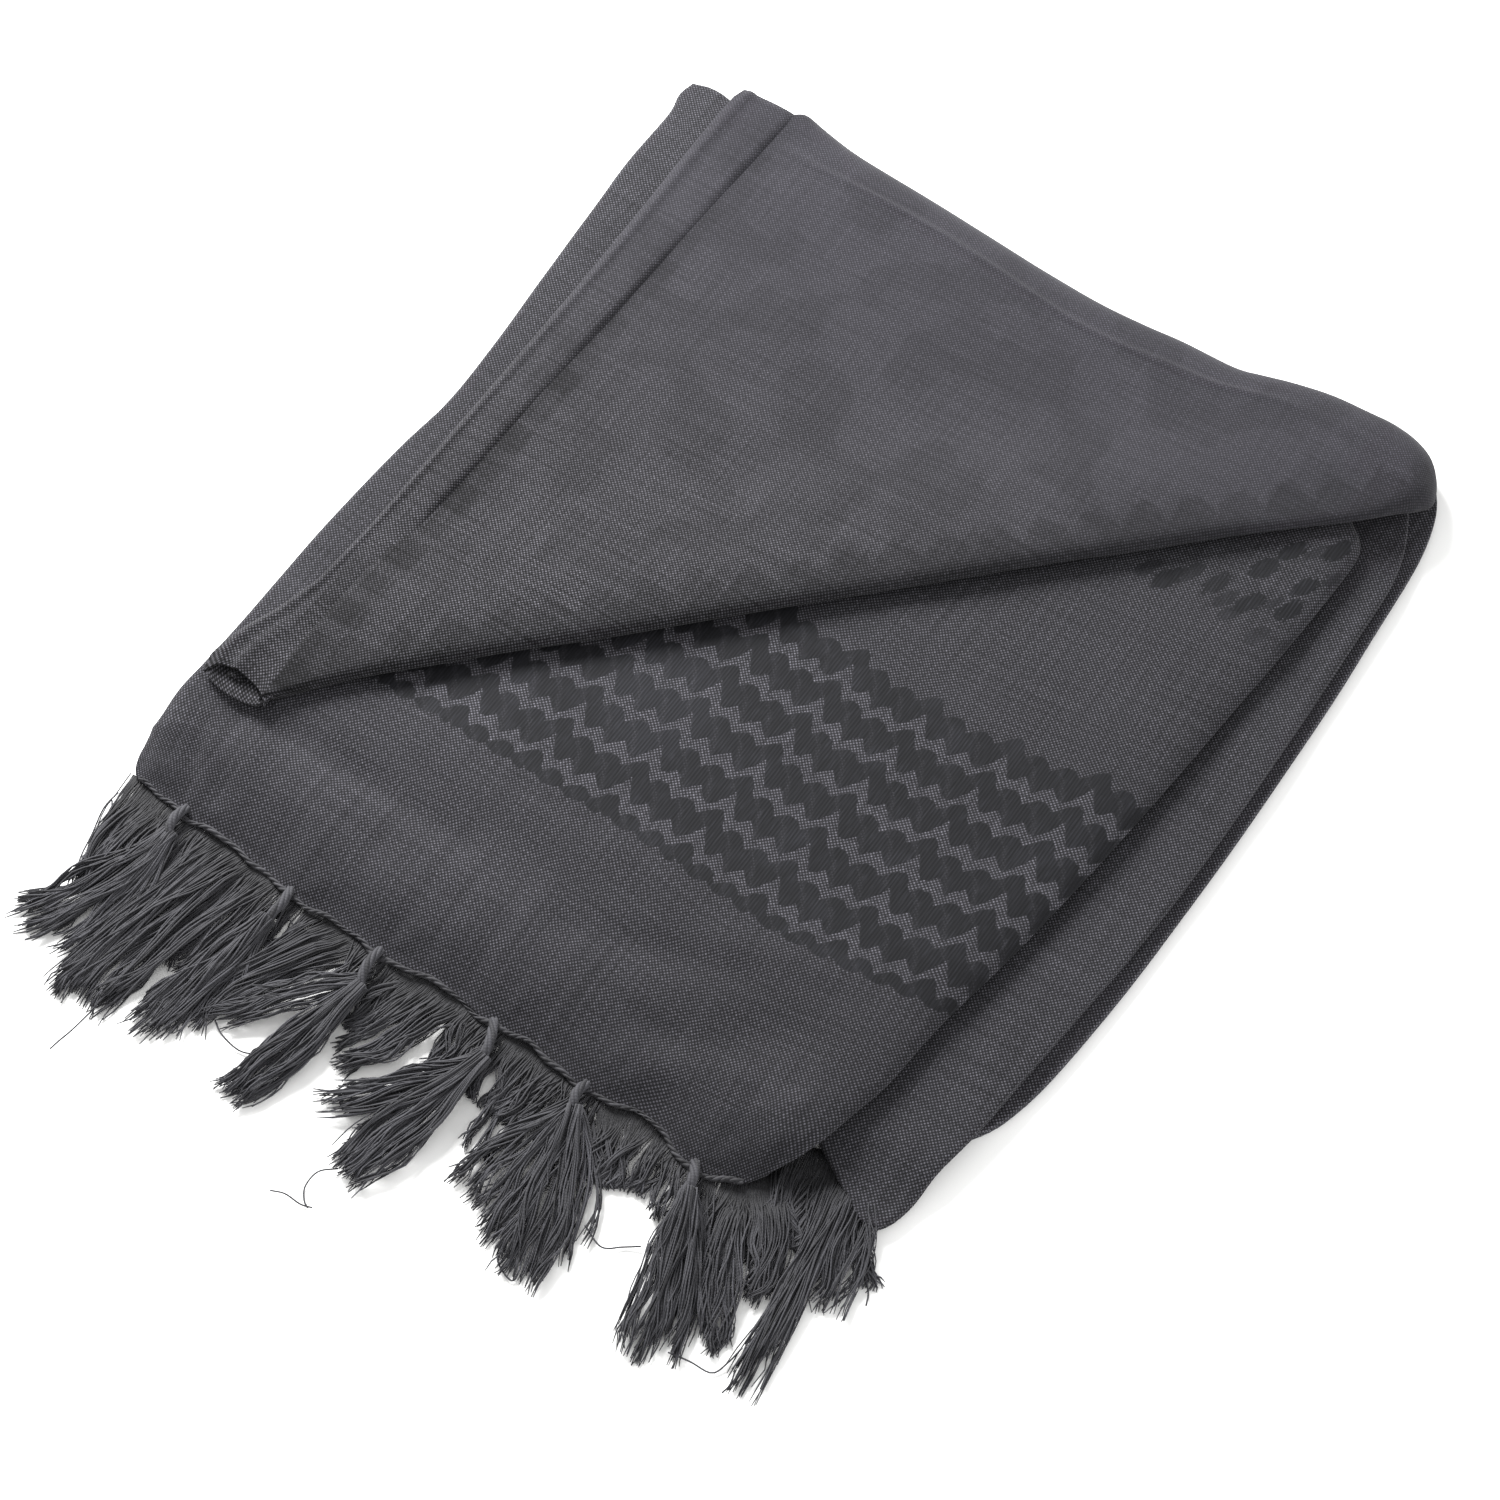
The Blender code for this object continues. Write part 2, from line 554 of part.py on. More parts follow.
def bent_line(start, aim, end, u):
    """Point and side direction of a line that leaves start toward aim and reaches end."""
    x = (1 - u) ** 2 * start[0] + 2 * u * (1 - u) * aim[0] + u * u * end[0]
    y = (1 - u) ** 2 * start[1] + 2 * u * (1 - u) * aim[1] + u * u * end[1]
    dx = 2 * (1 - u) * (aim[0] - start[0]) + 2 * u * (end[0] - aim[0])
    dy = 2 * (1 - u) * (aim[1] - start[1]) + 2 * u * (end[1] - aim[1])
    size = math.hypot(dx, dy)
    return x, y, -dy / size, dx / size


def knotted_tassel(number, row, home):
    """Tassel: a rolled knot at the hem and locks that spread over the loose fringe to the floor."""
    x0, y0, x1, y1, tip_width, bow, locks = row
    start = (x0, y0 - KNOT_LENGTH)
    end = (x1, y1)
    aim = ((start[0] + end[0]) / 2.0 + bow, (start[1] + end[1]) / 2.0)

    def place(u, s, t, slim):
        flow = max(u, 0.0)
        x, y, ax, ay = bent_line(start, aim, end, flow)
        if u < 0:
            y = y - u * KNOT_LENGTH
        width = KNOT_HALF + (tip_width / 2.0 - KNOT_HALF) * flow ** 0.75
        tall = 1.7 - 0.55 * flow
        level = 4.4 - 2.55 * smoothstep((flow - 0.32) / 0.55)
        drift = 0.5 * math.sin(6.0 * flow + 1.7 * number)
        return (x + ax * (s * width + drift), y + ay * (s * width + drift), level + t * tall)

    heads = ((-0.3, 0.6, 1.08), (-0.7, 0.9, 0.95), (-1.0, 1.0, 0.62))
    stations = ((0.3, 0.98), (0.62, 0.96), (0.86, 0.9), (1.0, 0.55))
    return brush("knotted_tassel_%d" % number, place, 2, locks, heads, stations, THREAD_COLOUR, home)


def loose_fringe(number, row, home):
    """Loose threads of the layers below: a narrow strip outside the hem and its locks."""
    x0, y0, x1, y1, tip_x, tip_y, tip_width, locks, long_y, long_from, long_to = row
    mid = ((x0 + x1) / 2.0, (y0 + y1) / 2.0)
    run = math.hypot(x1 - x0, y1 - y0)
    ux, uy = (x1 - x0) / run, (y1 - y0) / run
    out_x, out_y = uy * STRIP_DEPTH, -ux * STRIP_DEPTH

    def place(u, s, t, slim):
        flow = max(u, 0.0)
        forward = 1.0 + min(u, 0.0)
        x = mid[0] + ux * s * run / 2.0 + out_x * forward
        y = mid[1] + uy * s * run / 2.0 + out_y * forward
        long_lock = long_from <= s <= long_to and long_to > long_from
        end_y = (long_y if long_lock else tip_y) + 1.6 * math.sin(4.1 * s + number)
        end_x = tip_x + s * tip_width / 2.0
        level = FLOOR_CLEARANCE + STRIP_HEIGHT / 2.0
        spread = min((end_y - y) * flow / (tip_y - y), 1.12)
        x += (end_x - x) * spread
        y += (end_y - y) * flow
        return (x, y, level + t * (STRIP_HEIGHT / 2.0) * (1.0 - 0.15 * flow))

    heads = ((-1.0, 0.0, 1.0),)
    stations = ((0.35, 0.9), (0.7, 0.8), (1.0, 0.5))
    return brush("loose_fringe_%d" % number, place, 1, locks, heads, stations, THREAD_COLOUR, home)


def main():
    """Builds the folded scarf."""
    for old in list(bpy.data.objects):
        bpy.data.objects.remove(old, do_unlink=True)
    home = bpy.data.collections.new("folded_woven_scarf")
    bpy.context.scene.collection.children.link(home)

    bottom_profile = (
        (1.3, 0.0), (0.3, 0.6), (0.0, 1.5), (0.3, 2.5), (1.3, 3.1), (5.0, 3.3), (14.0, BOTTOM_TOP),
    )
    slab("bottom_panel", BOTTOM_EDGE, bottom_profile, bottom_height, CLOTH_COLOUR, home,
         SLAB_POINTS, 2)

    middle_profile = (
        (25.0, MIDDLE_BOTTOM), (12.0, MIDDLE_BOTTOM), (2.6, MIDDLE_BOTTOM), (0.6, 4.3), (0.0, 5.5),
        (0.5, 6.5), (2.0, 7.1), (6.0, MIDDLE_TOP), (12.0, MIDDLE_TOP), (25.0, MIDDLE_TOP),
    )
    slab("middle_panel", MIDDLE_EDGE, middle_profile, middle_height, CLOTH_COLOUR, home,
         SLAB_POINTS, 6)

    stack_top = TOP_HEIGHT - CLOTH_WALL - SEAM_GAP - 0.25
    stack_profile = (
        (1.6, STACK_BOTTOM), (0.3, 7.9), (0.0, 8.3), (0.4, 8.75), (2.0, 9.0), (13.5, 9.05),
        (14.6, 10.2), (16.5, stack_top - 0.3), (24.0, stack_top),
    )
    slab("folded_stack", STACK_EDGE, stack_profile, stack_height, CLOTH_COLOUR, home,
         STACK_POINTS, 5, crown=True)

    collared_sheet(
        "top_panel", (PANEL_NEAR, PANEL_RIGHT, PANEL_FAR, PANEL_LEFT),
        (SIDE_FOLD, HEM_DRAPE, RIGHT_ROLL), panel_height, TOP_HEIGHT, full_size, (0, 0, 1), CLOTH_WALL,
        (PANEL_CELLS_X, PANEL_CELLS_Y), CLOTH_COLOUR, home)

    collared_sheet(
        "turned_back_flap", (FLAP_DIAGONAL, FLAP_FAR, FLAP_SHORT, FLAP_LEFT),
        (PLAIN_EDGE, FAR_DRAPE, DIAGONAL_ROLL), flap_height, 0.0, roll_size, FLAP_TIP, FLAP_WALL,
        (FLAP_CELLS_ALONG, FLAP_CELLS_UP), CLOTH_COLOUR, home)

    margin_tube("flap_turned_margin", CLOTH_COLOUR, home)

    for number, row in enumerate(KNOT_TASSELS, 1):
        knotted_tassel(number, row, home)
    for number, row in enumerate(LOOSE_FRINGE, 1):
        loose_fringe(number, row, home)


main()
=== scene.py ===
import math

import bpy
import numpy as np
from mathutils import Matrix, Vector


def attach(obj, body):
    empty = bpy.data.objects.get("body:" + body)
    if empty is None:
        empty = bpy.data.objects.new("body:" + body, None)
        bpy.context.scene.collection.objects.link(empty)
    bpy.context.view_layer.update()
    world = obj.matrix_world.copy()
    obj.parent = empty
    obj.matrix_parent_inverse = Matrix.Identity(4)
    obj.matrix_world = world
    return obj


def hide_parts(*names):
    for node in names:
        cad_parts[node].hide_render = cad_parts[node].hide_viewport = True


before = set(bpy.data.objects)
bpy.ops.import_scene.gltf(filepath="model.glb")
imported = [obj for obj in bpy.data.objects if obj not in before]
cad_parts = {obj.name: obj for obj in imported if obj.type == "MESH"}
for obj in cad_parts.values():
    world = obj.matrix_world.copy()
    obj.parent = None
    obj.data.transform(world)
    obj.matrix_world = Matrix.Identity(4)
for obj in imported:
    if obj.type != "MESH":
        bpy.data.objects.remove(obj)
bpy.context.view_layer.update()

bl_info = {
    "name": "Folded woven scarf",
    "version": (1, 0, 0),
    "blender": (4, 5, 0),
    "location": "View3D > Sidebar > Scarf",
    "description": "Dresses the folded scarf: woven cloth, turned-back corner, rolled hem and knotted fringe",
    "category": "Object",
}

MM = 0.001

# Forms of the solids, in millimetres. The top panel's near left corner, RIGHT_ROLL and FAR_DRAPE
# are finer here.
BOTTOM_TOP = 3.2
MIDDLE_BOTTOM = 3.9
MIDDLE_TOP = 7.2
STACK_BOTTOM = 7.55
TOP_HEIGHT = 14.0
SEAM_GAP = 0.35
FRONT_SINK = 3.4
FRONT_SINK_START = -96.0
FLAP_REST_LIFT = 2.2
FLAP_ROLL_LIFT = 7.0
FLAP_ROLL_REACH = 46.0

# Lowest panel: x, y of its edge
BOTTOM_EDGE = (
    (-118, -134), (-60, -135), (0, -135), (60, -134), (88, -130), (110, -127), (124, -125),
    (132, -121), (138, -114), (142, -105), (145.5, -88), (148.4, -56), (149.6, -26), (150.3, 4),
    (150.3, 34), (150, 64), (148.8, 92), (148, 112), (146.8, 125), (144.2, 137), (140, 145.5),
    (134, 152), (126.5, 155.4), (117, 157), (97.6, 156.2), (84.5, 153.8), (75, 151.4), (55, 149.8),
    (38, 149), (19, 148.6), (0, 150), (-19, 152), (-38, 154), (-57, 155.4), (-80, 156),
    (-100, 153), (-120, 151), (-131, 149.5), (-134, 143), (-133, 115), (-130, 90), (-127.5, 50),
    (-124, 10),
    (-125, -20), (-127, -60), (-128, -96), (-126, -122),
)

# Second panel: x, y of its edge
MIDDLE_EDGE = (
    (-116, -134), (-60, -137), (0, -137), (60, -136), (84, -136.5), (98, -139), (109, -144.5),
    (118, -150.5), (124, -154), (128.5, -154.5), (132, -150), (134, -142), (135, -132),
    (137.4, -118), (138.6, -108), (140.6, -88), (142.6, -68), (144.6, -48), (146.4, -18),
    (147, 20), (146.6, 62), (146, 88), (145.6, 104), (143.4, 117), (138.6, 129), (132.6, 139),
    (125.5, 146), (117, 150), (108, 151.5), (95, 151), (76, 148), (55, 146.4), (38, 145.5),
    (19, 145), (0, 146), (-19, 148), (-38, 150), (-57, 151.5), (-80, 152), (-100, 151),
    (-120, 151), (-131, 150), (-136, 145), (-134, 115), (-131.5, 90), (-129, 50), (-126, 10),
    (-127, -20), (-129, -60), (-129, -96), (-125, -122),
)

# Hidden folded layers: x, y of their widest edge
STACK_EDGE = (
    (-117, -125), (-60, -127), (0, -127), (60, -126), (78, -124), (90, -118), (95, -104),
    (99.5, -80), (105.5, -40), (110, 0), (114, 60), (116.5, 96), (114, 108), (106, 116),
    (92, 122), (61, 126), (23, 127), (-15, 130), (-53, 137), (-82, 143), (-104, 146), (-120, 147.5),
    (-129, 145.5), (-131.5, 138), (-131, 110), (-128, 70), (-125, 30), (-123, 0), (-125, -30),
    (-126, -80), (-125, -110),
)

# Top panel sides: x, y, share of hem drape, share of deep right roll
PANEL_NEAR = (
    (-132.9, -138, 0.45, 0), (-130.8, -145.6, 0.8, 0), (-126.5, -151.2, 1, 0), (-120, -152.4, 1, 0),
    (-112, -152.8, 1, 0), (-103, -154.5, 1, 0),
    (-90, -154.5, 1, 0), (-76, -156, 1, 0), (-64, -159, 1, 0), (-50, -158, 1, 0),
    (-34, -160, 1, 0), (-20, -159, 1, 0), (-6, -158.5, 1, 0), (7, -160.5, 1, 0),
    (22, -159.5, 1, 0), (40, -163, 1, 0), (57, -160, 1, 0), (70, -164, 1, 0), (77, -165.8, 1, 0),
    (84, -165, 1, 0), (91, -163, 1, 0), (97.5, -158.5, 0.75, 0.25),
)
PANEL_RIGHT = (
    (97.5, -158.5, 0.75, 0.25), (102, -151.5, 0.35, 0.65), (105, -143.5, 0.05, 0.95),
    (108, -131, 0, 1), (110.9, -118, 0, 1), (113, -96, 0, 1), (117.5, -70, 0, 1), (121, -45, 0, 1),
    (124, -20, 0, 1), (126.5, 5, 0, 1), (129, 35, 0, 1), (131.5, 65, 0, 1), (133.5, 100, 0, 1),
    (132, 110, 0, 0.9), (126, 116, 0, 0.5),
)
PANEL_FAR = (
    (126, 116, 0, 0.5), (116, 121, 0, 0), (99, 125, 0, 0), (61, 129, 0, 0), (23, 131, 0, 0),
    (-15, 133, 0, 0), (-53, 137, 0, 0), (-82, 138.5, 0, 0), (-97, 139, 0, 0),
    (-110, 146, 0, 0), (-121, 151, 0, 0), (-129, 152, 0, 0), (-135.5, 150.2, 0, 0),
)
PANEL_LEFT = (
    (-135.5, 150.2, 0, 0), (-136.6, 144, 0, 0), (-134.8, 135, 0, 0), (-134.6, 113, 0, 0),
    (-132.5, 90, 0, 0), (-130, 60, 0, 0), (-127, 28, 0, 0), (-126, 2, 0, 0), (-128, -20, 0, 0),
    (-129.2, -60, 0, 0), (-128.6, -96, 0, 0), (-129.6, -112, 0.03, 0), (-131.9, -125, 0.15, 0),
    (-132.9, -138, 0.45, 0),
)

# How the top panel turns at its edge: inset from the edge and height over the top
HEM_DRAPE = ((27, 0), (20, -1.0), (14, -3.1), (9, -6.0), (5, -9.0), (2, -11.5), (0, -12.5))
RIGHT_ROLL = ((14, 0), (8, -0.35), (3.2, -1.1), (0.8, -2.2), (0, -3.5), (0.9, -4.8), (6, -5.6))
SIDE_FOLD = ((10, 0), (2.7, -0.15), (0.8, -0.8), (0, -2.1), (0.7, -3.4), (2.6, -4.1), (7, -4.2))

# Soft troughs and ridges of the top panel: start, end, half width, height
PANEL_CREASES = (
    (-50, -112, 36, -116, 11, -0.75),
    (34, -152, 74, -126, 8, -0.65),
    (56, -152, 92, -128, 8, 0.5),
    (-113, -120, -102, -142, 4.5, -0.8),
    (-104, -118, -94, -140, 5, 0.45),
    (-80, -96, -20, -98, 10, 0.35),
    (70, 0, 116, 14, 16, 0.4),
)

# Turned-back corner. Columns: x, y, share of far drape, share of diagonal roll
FLAP_DIAGONAL = (
    (-106, -117, 0, 1), (-91, -101, 0, 1), (-72, -82, 0, 1), (-53, -63, 0, 1),
    (-34, -45, 0, 1), (-15, -26, 0, 1), (4, -7, 0, 1), (23, 12, 0, 1), (42, 31, 0, 1),
    (61, 50, 0, 1), (80, 68, 0, 1), (99, 87, 0, 1), (116, 103, 0, 1), (127, 113, 0, 1),
    (134.5, 120.5, 0.2, 0.75), (140.5, 128, 0.6, 0.35),
)
FLAP_FAR = (
    (140.5, 128, 0.6, 0.35), (142.8, 136, 0.85, 0), (140.6, 144, 1, 0), (135.8, 150.8, 1, 0),
    (129, 155, 1, 0), (120, 157.4, 1, 0), (110.7, 157.8, 1, 0), (97.6, 157.6, 1, 0),
    (84.5, 155.3, 1, 0), (75, 152.8, 1, 0), (66.7, 151, 1, 0), (48.8, 151.2, 1, 0),
    (36, 150.4, 1, 0), (19, 150, 1, 0), (0, 151.4, 1, 0), (-19, 153.4, 1, 0), (-38, 155.2, 1, 0),
)
FLAP_SHORT = (
    (-38, 155.2, 1, 0), (-57, 156.8, 1, 0), (-76, 158, 0.85, 0), (-90, 159, 0.5, 0),
    (-97, 158.5, 0.2, 0), (-101, 154, 0, 0),
)
FLAP_LEFT = (
    (-101, 154, 0, 0), (-101.7, 144, 0, 0), (-102.8, 97, 0, 0), (-104, 47, 0, 0),
    (-105, 17, 0, 0), (-106, -23, 0, 0), (-106.6, -60, 0, 0), (-106.6, -100, 0, 0),
    (-106, -117, 0, 1),
)
DIAGONAL_ROLL = ((9, 0), (4, -0.3), (1.1, -1.4), (0, -3.3), (1.0, -5.2), (3.6, -6.4), (13, -6.5))
FAR_DRAPE = ((16, 0), (12, -0.5), (8.4, -1.4), (5.4, -2.9), (3.0, -5.2), (1.2, -7.9), (0.4, -10.8))
PLAIN_EDGE = ((6, 0), (4.6, 0), (3.4, 0), (2.4, 0), (1.4, -0.1), (0.6, -0.3), (0.1, -0.6))
FLAP_TIP = (-106, -117, 42)

# Turned margin along the corner's left side: y, left x, right x, height
MARGIN_SECTIONS = (
    (-112.8, -126, -107.8, 3.4), (-108.5, -127.3, -107.6, 4.2), (-101, -125.5, -107.8, 4.4),
    (-90, -121, -107.6, 4.4), (-74, -117, -107.6, 4.2), (-50, -116, -107.4, 4.0),
    (-20, -116, -106.6, 4.0), (15, -116.2, -105.8, 4.0), (50, -116.6, -104.8, 4.0),
    (85, -117.4, -103.9, 4.0), (120, -118.8, -103.1, 4.0), (142, -119.6, -102.6, 3.8),
    (150.5, -119.6, -102.4, 3.4), (154.6, -118.6, -102.8, 2.7),
)

# Softer folds of the near part of the top panel: start, end, half width, height
HAND_FOLDS = (
    (8, -127, 60, -112, 6, -0.8),
    (22, -120, 82, -98, 7, 0.45),
    (-106, -119, -30, -121, 5.0, -1.0),
    (-104, -133, -60, -138, 6.0, 0.5),
    (-108, -139, -92, -153, 3.5, -0.7),
    (-117.5, -130, -110, -147, 2.4, -1.1),
    (-60, -132, -42, -135, 6, -0.45),
    (36, -141, 62, -139, 5, -0.5),
    (82, -150, 101, -132, 4, 0.5),
    (-60, -104, -6, -108, 6, 0.35),
)

HAND_FOLD_GAIN = 1.8

# How far inside the turned-back corner's far edge its crease runs
FAR_CREASE = 17.0

# Places on the whole cloth of each piece's own origin, so that the weave differs from piece to piece
FLAP_PLACE = (300.0, 20.0)
MARGIN_PLACE = (300.0, -200.0)
MOUTH_PLACE = (300.0, 180.0)
LOWER_PLACE = (700.0, 400.0)

# How far the woven band drifts from a straight line: x, drift
BAND_DRIFT = (
    (-130, 2.0), (-63, 1.0), (-25, 0), (3, 0), (13, -0.2), (32, -2.2), (60, -4.6), (79, -3.8),
    (98, -1.5), (112, 0.8), (130, 3.0),
)

# Light plain line of the band over one repeat, in millimetres: place, level over its row
LINE_UPPER = (
    (0, 5.7), (2.5, 1.1), (4.5, -2.0), (6.5, -1.2), (8.5, 1.1), (10.5, -0.6), (12.5, -3.7),
    (14.5, -1.4), (17, 0.9), (19.5, -2.0), (21.5, -2.9), (23.5, -0.5), (25.5, 2.7), (26.6, 5.7),
)
LINE_LOWER = (
    (0, -1.4), (1.5, -2.7), (3, -5.8), (4.2, -6.9), (6, -4.8), (8.5, -4.4), (10.5, -5.6),
    (12.1, -8.1), (14, -6.1), (16, -4.7), (18.5, -4.8), (20.5, -6.7), (22, -5.6), (24, -3.1),
    (26.6, -1.4),
)

# Levels that the two tables above lie between
LINE_RANGE = (-9.0, 7.0)

# How far each row of the band is shifted against the row above it
ROW_SHIFT = 1.05

# Where the band's dots part from each other: width of one dot, and place of the first gap
DOT_WIDTH = 8.867
DOT_START = 34.2

# Width of one scallop along the band's lower edge
SCALLOP_WIDTH = 8.7

# Left end of the woven band
BAND_LEFT = -116.0

# Rubbed place of the woven band, where the floats look lighter: place, half width, half height
WORN = (-9.0, -54.0, 18.0, 21.0)

# Loose woven dots near the far right: place on the cloth, half width, half height, strength
SECOND_DOTS = (
    (84.0, 69.4, 3.0, 3.8, 0.6), (90.6, 68.6, 3.8, 4.6, 1.0), (95.4, 74.0, 3.0, 4.2, 0.7),
    (103.6, 73.4, 3.2, 4.4, 0.8), (108.6, 69.4, 2.6, 3.8, 0.7), (112.0, 64.8, 2.6, 3.0, 0.7),
    (115.0, 70.8, 3.7, 4.4, 1.0), (112.6, 84.4, 4.2, 4.4, 0.9), (116.9, 93.8, 3.5, 4.0, 1.0),
    (121.0, 73.6, 1.9, 2.8, 0.6), (126.2, 74.0, 3.4, 4.4, 1.0), (125.9, 83.2, 3.2, 3.8, 0.95),
    (122.3, 95.6, 2.0, 3.2, 0.6), (127.8, 100.0, 3.4, 4.8, 1.0), (122.8, 61.2, 3.2, 3.4, 0.5),
    (131.0, 62.6, 2.4, 3.4, 0.4), (131.4, 90.0, 2.0, 3.4, 0.6),
)

# The twisted hem starts at the near left corner, at this x
HEM_LEFT = -125.2

# Knots on the hem: x, y where each leaves the hem, x, y where its threads open
HEM_KNOTS = (
    (-106.6, -153.6, -105.3, -161.6), (-65.4, -158.6, -64.7, -168.4), (-32.4, -160.2, -30.2, -170.4),
    (7.0, -160.8, 11.7, -170.2), (39.8, -162.6, 41.3, -169.2), (77.8, -165.8, 81.3, -172.6),
)

# Threads that hang together. Columns: group, x and y where they start, pass and end,
# width there, height there, count
TUFTS = (
    (1, -105.2, -161.2, -112.0, -185.1, -127.0, -208.3, 4.6, 12.0, 11.9, 4.6, 4.0, 1.6, 62),
    (1, -104.5, -162.7, -104.0, -188.6, -110.4, -212.0, 3.8, 11.0, 10.9, 4.0, 2.6, 1.0, 56),
    (2, -64.7, -168.5, -68.1, -188.6, -74.1, -218.2, 3.8, 10.8, 13.0, 4.6, 3.4, 1.4, 84),
    (2, -64.0, -168.6, -62.4, -191.6, -64.1, -213.5, 2.4, 4.9, 4.6, 3.6, 2.2, 1.0, 24),
    (3, -30.6, -170.0, -43.1, -182.0, -60.5, -202.3, 3.3, 9.0, 7.1, 4.4, 4.2, 1.4, 40),
    (3, -29.9, -171.3, -35.3, -197.0, -43.2, -220.1, 4.0, 12.4, 11.0, 4.8, 3.4, 1.2, 90),
    (4, 11.2, -169.3, -0.1, -188.8, -21.1, -207.8, 3.1, 10.5, 6.2, 4.4, 4.0, 1.4, 44),
    (4, 12.1, -170.5, 5.8, -199.3, -0.4, -222.6, 4.0, 14.9, 10.7, 4.8, 3.6, 1.2, 96),
    (4, 10.8, -169.2, 2.5, -190.2, -13.1, -212.1, 2.5, 7.4, 3.7, 3.8, 3.0, 1.0, 22),
    (5, 40.2, -169.3, 34.1, -189.5, 30.1, -207.4, 3.0, 10.5, 9.8, 4.4, 3.4, 1.2, 46),
    (5, 40.9, -169.4, 43.7, -193.6, 44.0, -215.7, 2.9, 10.3, 7.3, 4.2, 3.0, 1.0, 44),
    (5, 41.6, -169.3, 51.7, -195.6, 57.9, -221.2, 3.5, 11.7, 11.0, 4.8, 3.4, 1.2, 76),
    (5, 41.4, -168.2, 57.5, -186.0, 66.0, -209.5, 1.9, 5.0, 3.3, 4.0, 2.6, 1.0, 18),
    (6, 81.2, -172.6, 89.5, -192.5, 98.6, -221.0, 3.7, 13.6, 16.1, 4.8, 3.6, 1.2, 110),
    (6, 81.7, -172.4, 92.8, -188.9, 101.5, -214.1, 2.7, 5.9, 5.9, 3.8, 2.4, 1.0, 30),
    (11, -116.4, -153.2, -116.6, -175.2, -115.4, -190.6, 12.6, 12.5, 8.2, 1.6, 2.4, 1.2, 60),
    (11, -124.5, -153.2, -122.6, -174.7, -118.7, -188.3, 3.9, 3.0, 1.8, 1.4, 1.8, 1.0, 12),
    (12, -84.8, -157.8, -90.6, -189.6, -95.8, -220.6, 27.3, 20.3, 15.7, 1.6, 2.8, 1.0, 150),
    (12, -74.9, -158.5, -76.9, -177.7, -81.0, -195.4, 10.8, 12.8, 9.5, 1.2, 1.6, 0.8, 40),
    (13, -46.2, -162.2, -56.9, -185.1, -64.5, -207.3, 18.0, 10.1, 6.3, 1.4, 1.8, 0.9, 60),
    (14, -21.3, -162.7, -23.5, -173.9, -26.5, -183.9, 14.9, 12.4, 8.7, 1.4, 1.2, 0.8, 60),
    (14, -10.1, -161.4, -13.3, -177.7, -23.5, -194.7, 14.2, 11.3, 9.3, 1.6, 2.0, 1.0, 60),
    (15, 22.1, -162.9, 22.0, -173.8, 21.4, -183.3, 24.7, 20.6, 13.0, 1.6, 1.6, 0.9, 110),
    (15, 26.8, -162.9, 25.8, -182.9, 25.9, -197.0, 11.8, 8.7, 5.8, 1.2, 1.4, 0.8, 30),
    (16, 58.2, -166.6, 59.7, -175.0, 61.5, -183.8, 28.2, 22.4, 16.1, 1.6, 1.6, 0.9, 130),
    (17, 86.7, -167.8, 89.9, -179.8, 93.8, -188.1, 14.3, 9.8, 6.4, 1.5, 1.4, 0.8, 44),
    (17, 94.1, -168.6, 103.3, -189.2, 112.8, -208.1, 2.7, 8.6, 4.8, 4.0, 2.8, 1.2, 50),
    (18, 99.0, -162.4, 109.5, -174.4, 112.9, -190.1, 8.1, 9.7, 4.9, 2.6, 2.4, 1.0, 56),
    (18, 94.1, -164.8, 100.6, -172.6, 103.5, -181.7, 8.1, 7.7, 4.2, 1.2, 1.2, 0.8, 26),
    (19, 105.8, -155.0, 110.1, -163.5, 112.0, -169.4, 15.1, 12.5, 9.1, 1.3, 1.3, 0.8, 50),
    (20, 114.8, -145.9, 119.1, -172.4, 124.2, -212.8, 8.7, 7.6, 9.1, 3.4, 2.8, 1.2, 84),
    (21, 118.3, -145.5, 125.4, -160.4, 129.7, -181.8, 5.0, 11.9, 9.6, 3.0, 2.6, 1.1, 60),
    (21, 123.6, -152.1, 129.9, -160.4, 137.2, -169.8, 2.2, 4.3, 7.0, 1.4, 1.6, 0.9, 30),
    (11, -104.5, -154.0, -104.5, -166.0, -106.5, -179.0, 13.0, 12.0, 9.0, 0.8, 1.5, 0.8, 50),
    (13, -61.5, -158.5, -62.0, -168.0, -64.0, -177.0, 12.0, 11.0, 7.0, 0.8, 1.2, 0.7, 36),
    (14, -34.0, -159.5, -34.0, -168.0, -35.5, -176.0, 11.0, 10.0, 7.0, 0.8, 1.2, 0.7, 36),
    (15, 3.0, -160.0, 3.0, -170.5, 3.0, -181.5, 15.0, 13.0, 9.0, 0.8, 1.4, 0.8, 54),
    (16, 39.5, -161.5, 40.0, -170.5, 41.5, -180.5, 11.0, 10.0, 7.0, 0.8, 1.4, 0.8, 40),
    (17, 76.0, -164.5, 77.0, -174.0, 79.0, -184.0, 10.0, 9.0, 6.0, 0.8, 1.4, 0.8, 36),
    (19, 103.0, -150.0, 106.5, -160.5, 109.5, -171.0, 15.0, 14.0, 9.0, 0.8, 1.2, 0.7, 56),
    (20, 112.5, -146.5, 115.5, -158.0, 119.0, -170.0, 9.0, 9.0, 7.0, 0.8, 1.6, 0.8, 36),
)
THREAD_DENSITY = 1.65

# Groups over this number hang loose between the knots
KNOTTED_GROUPS = 10

# Length added to the tassels' places along their threads, clear of the painted shade at the loose fringe's
# roots
CLEAR_OF_ROOT_SHADE = 40.0

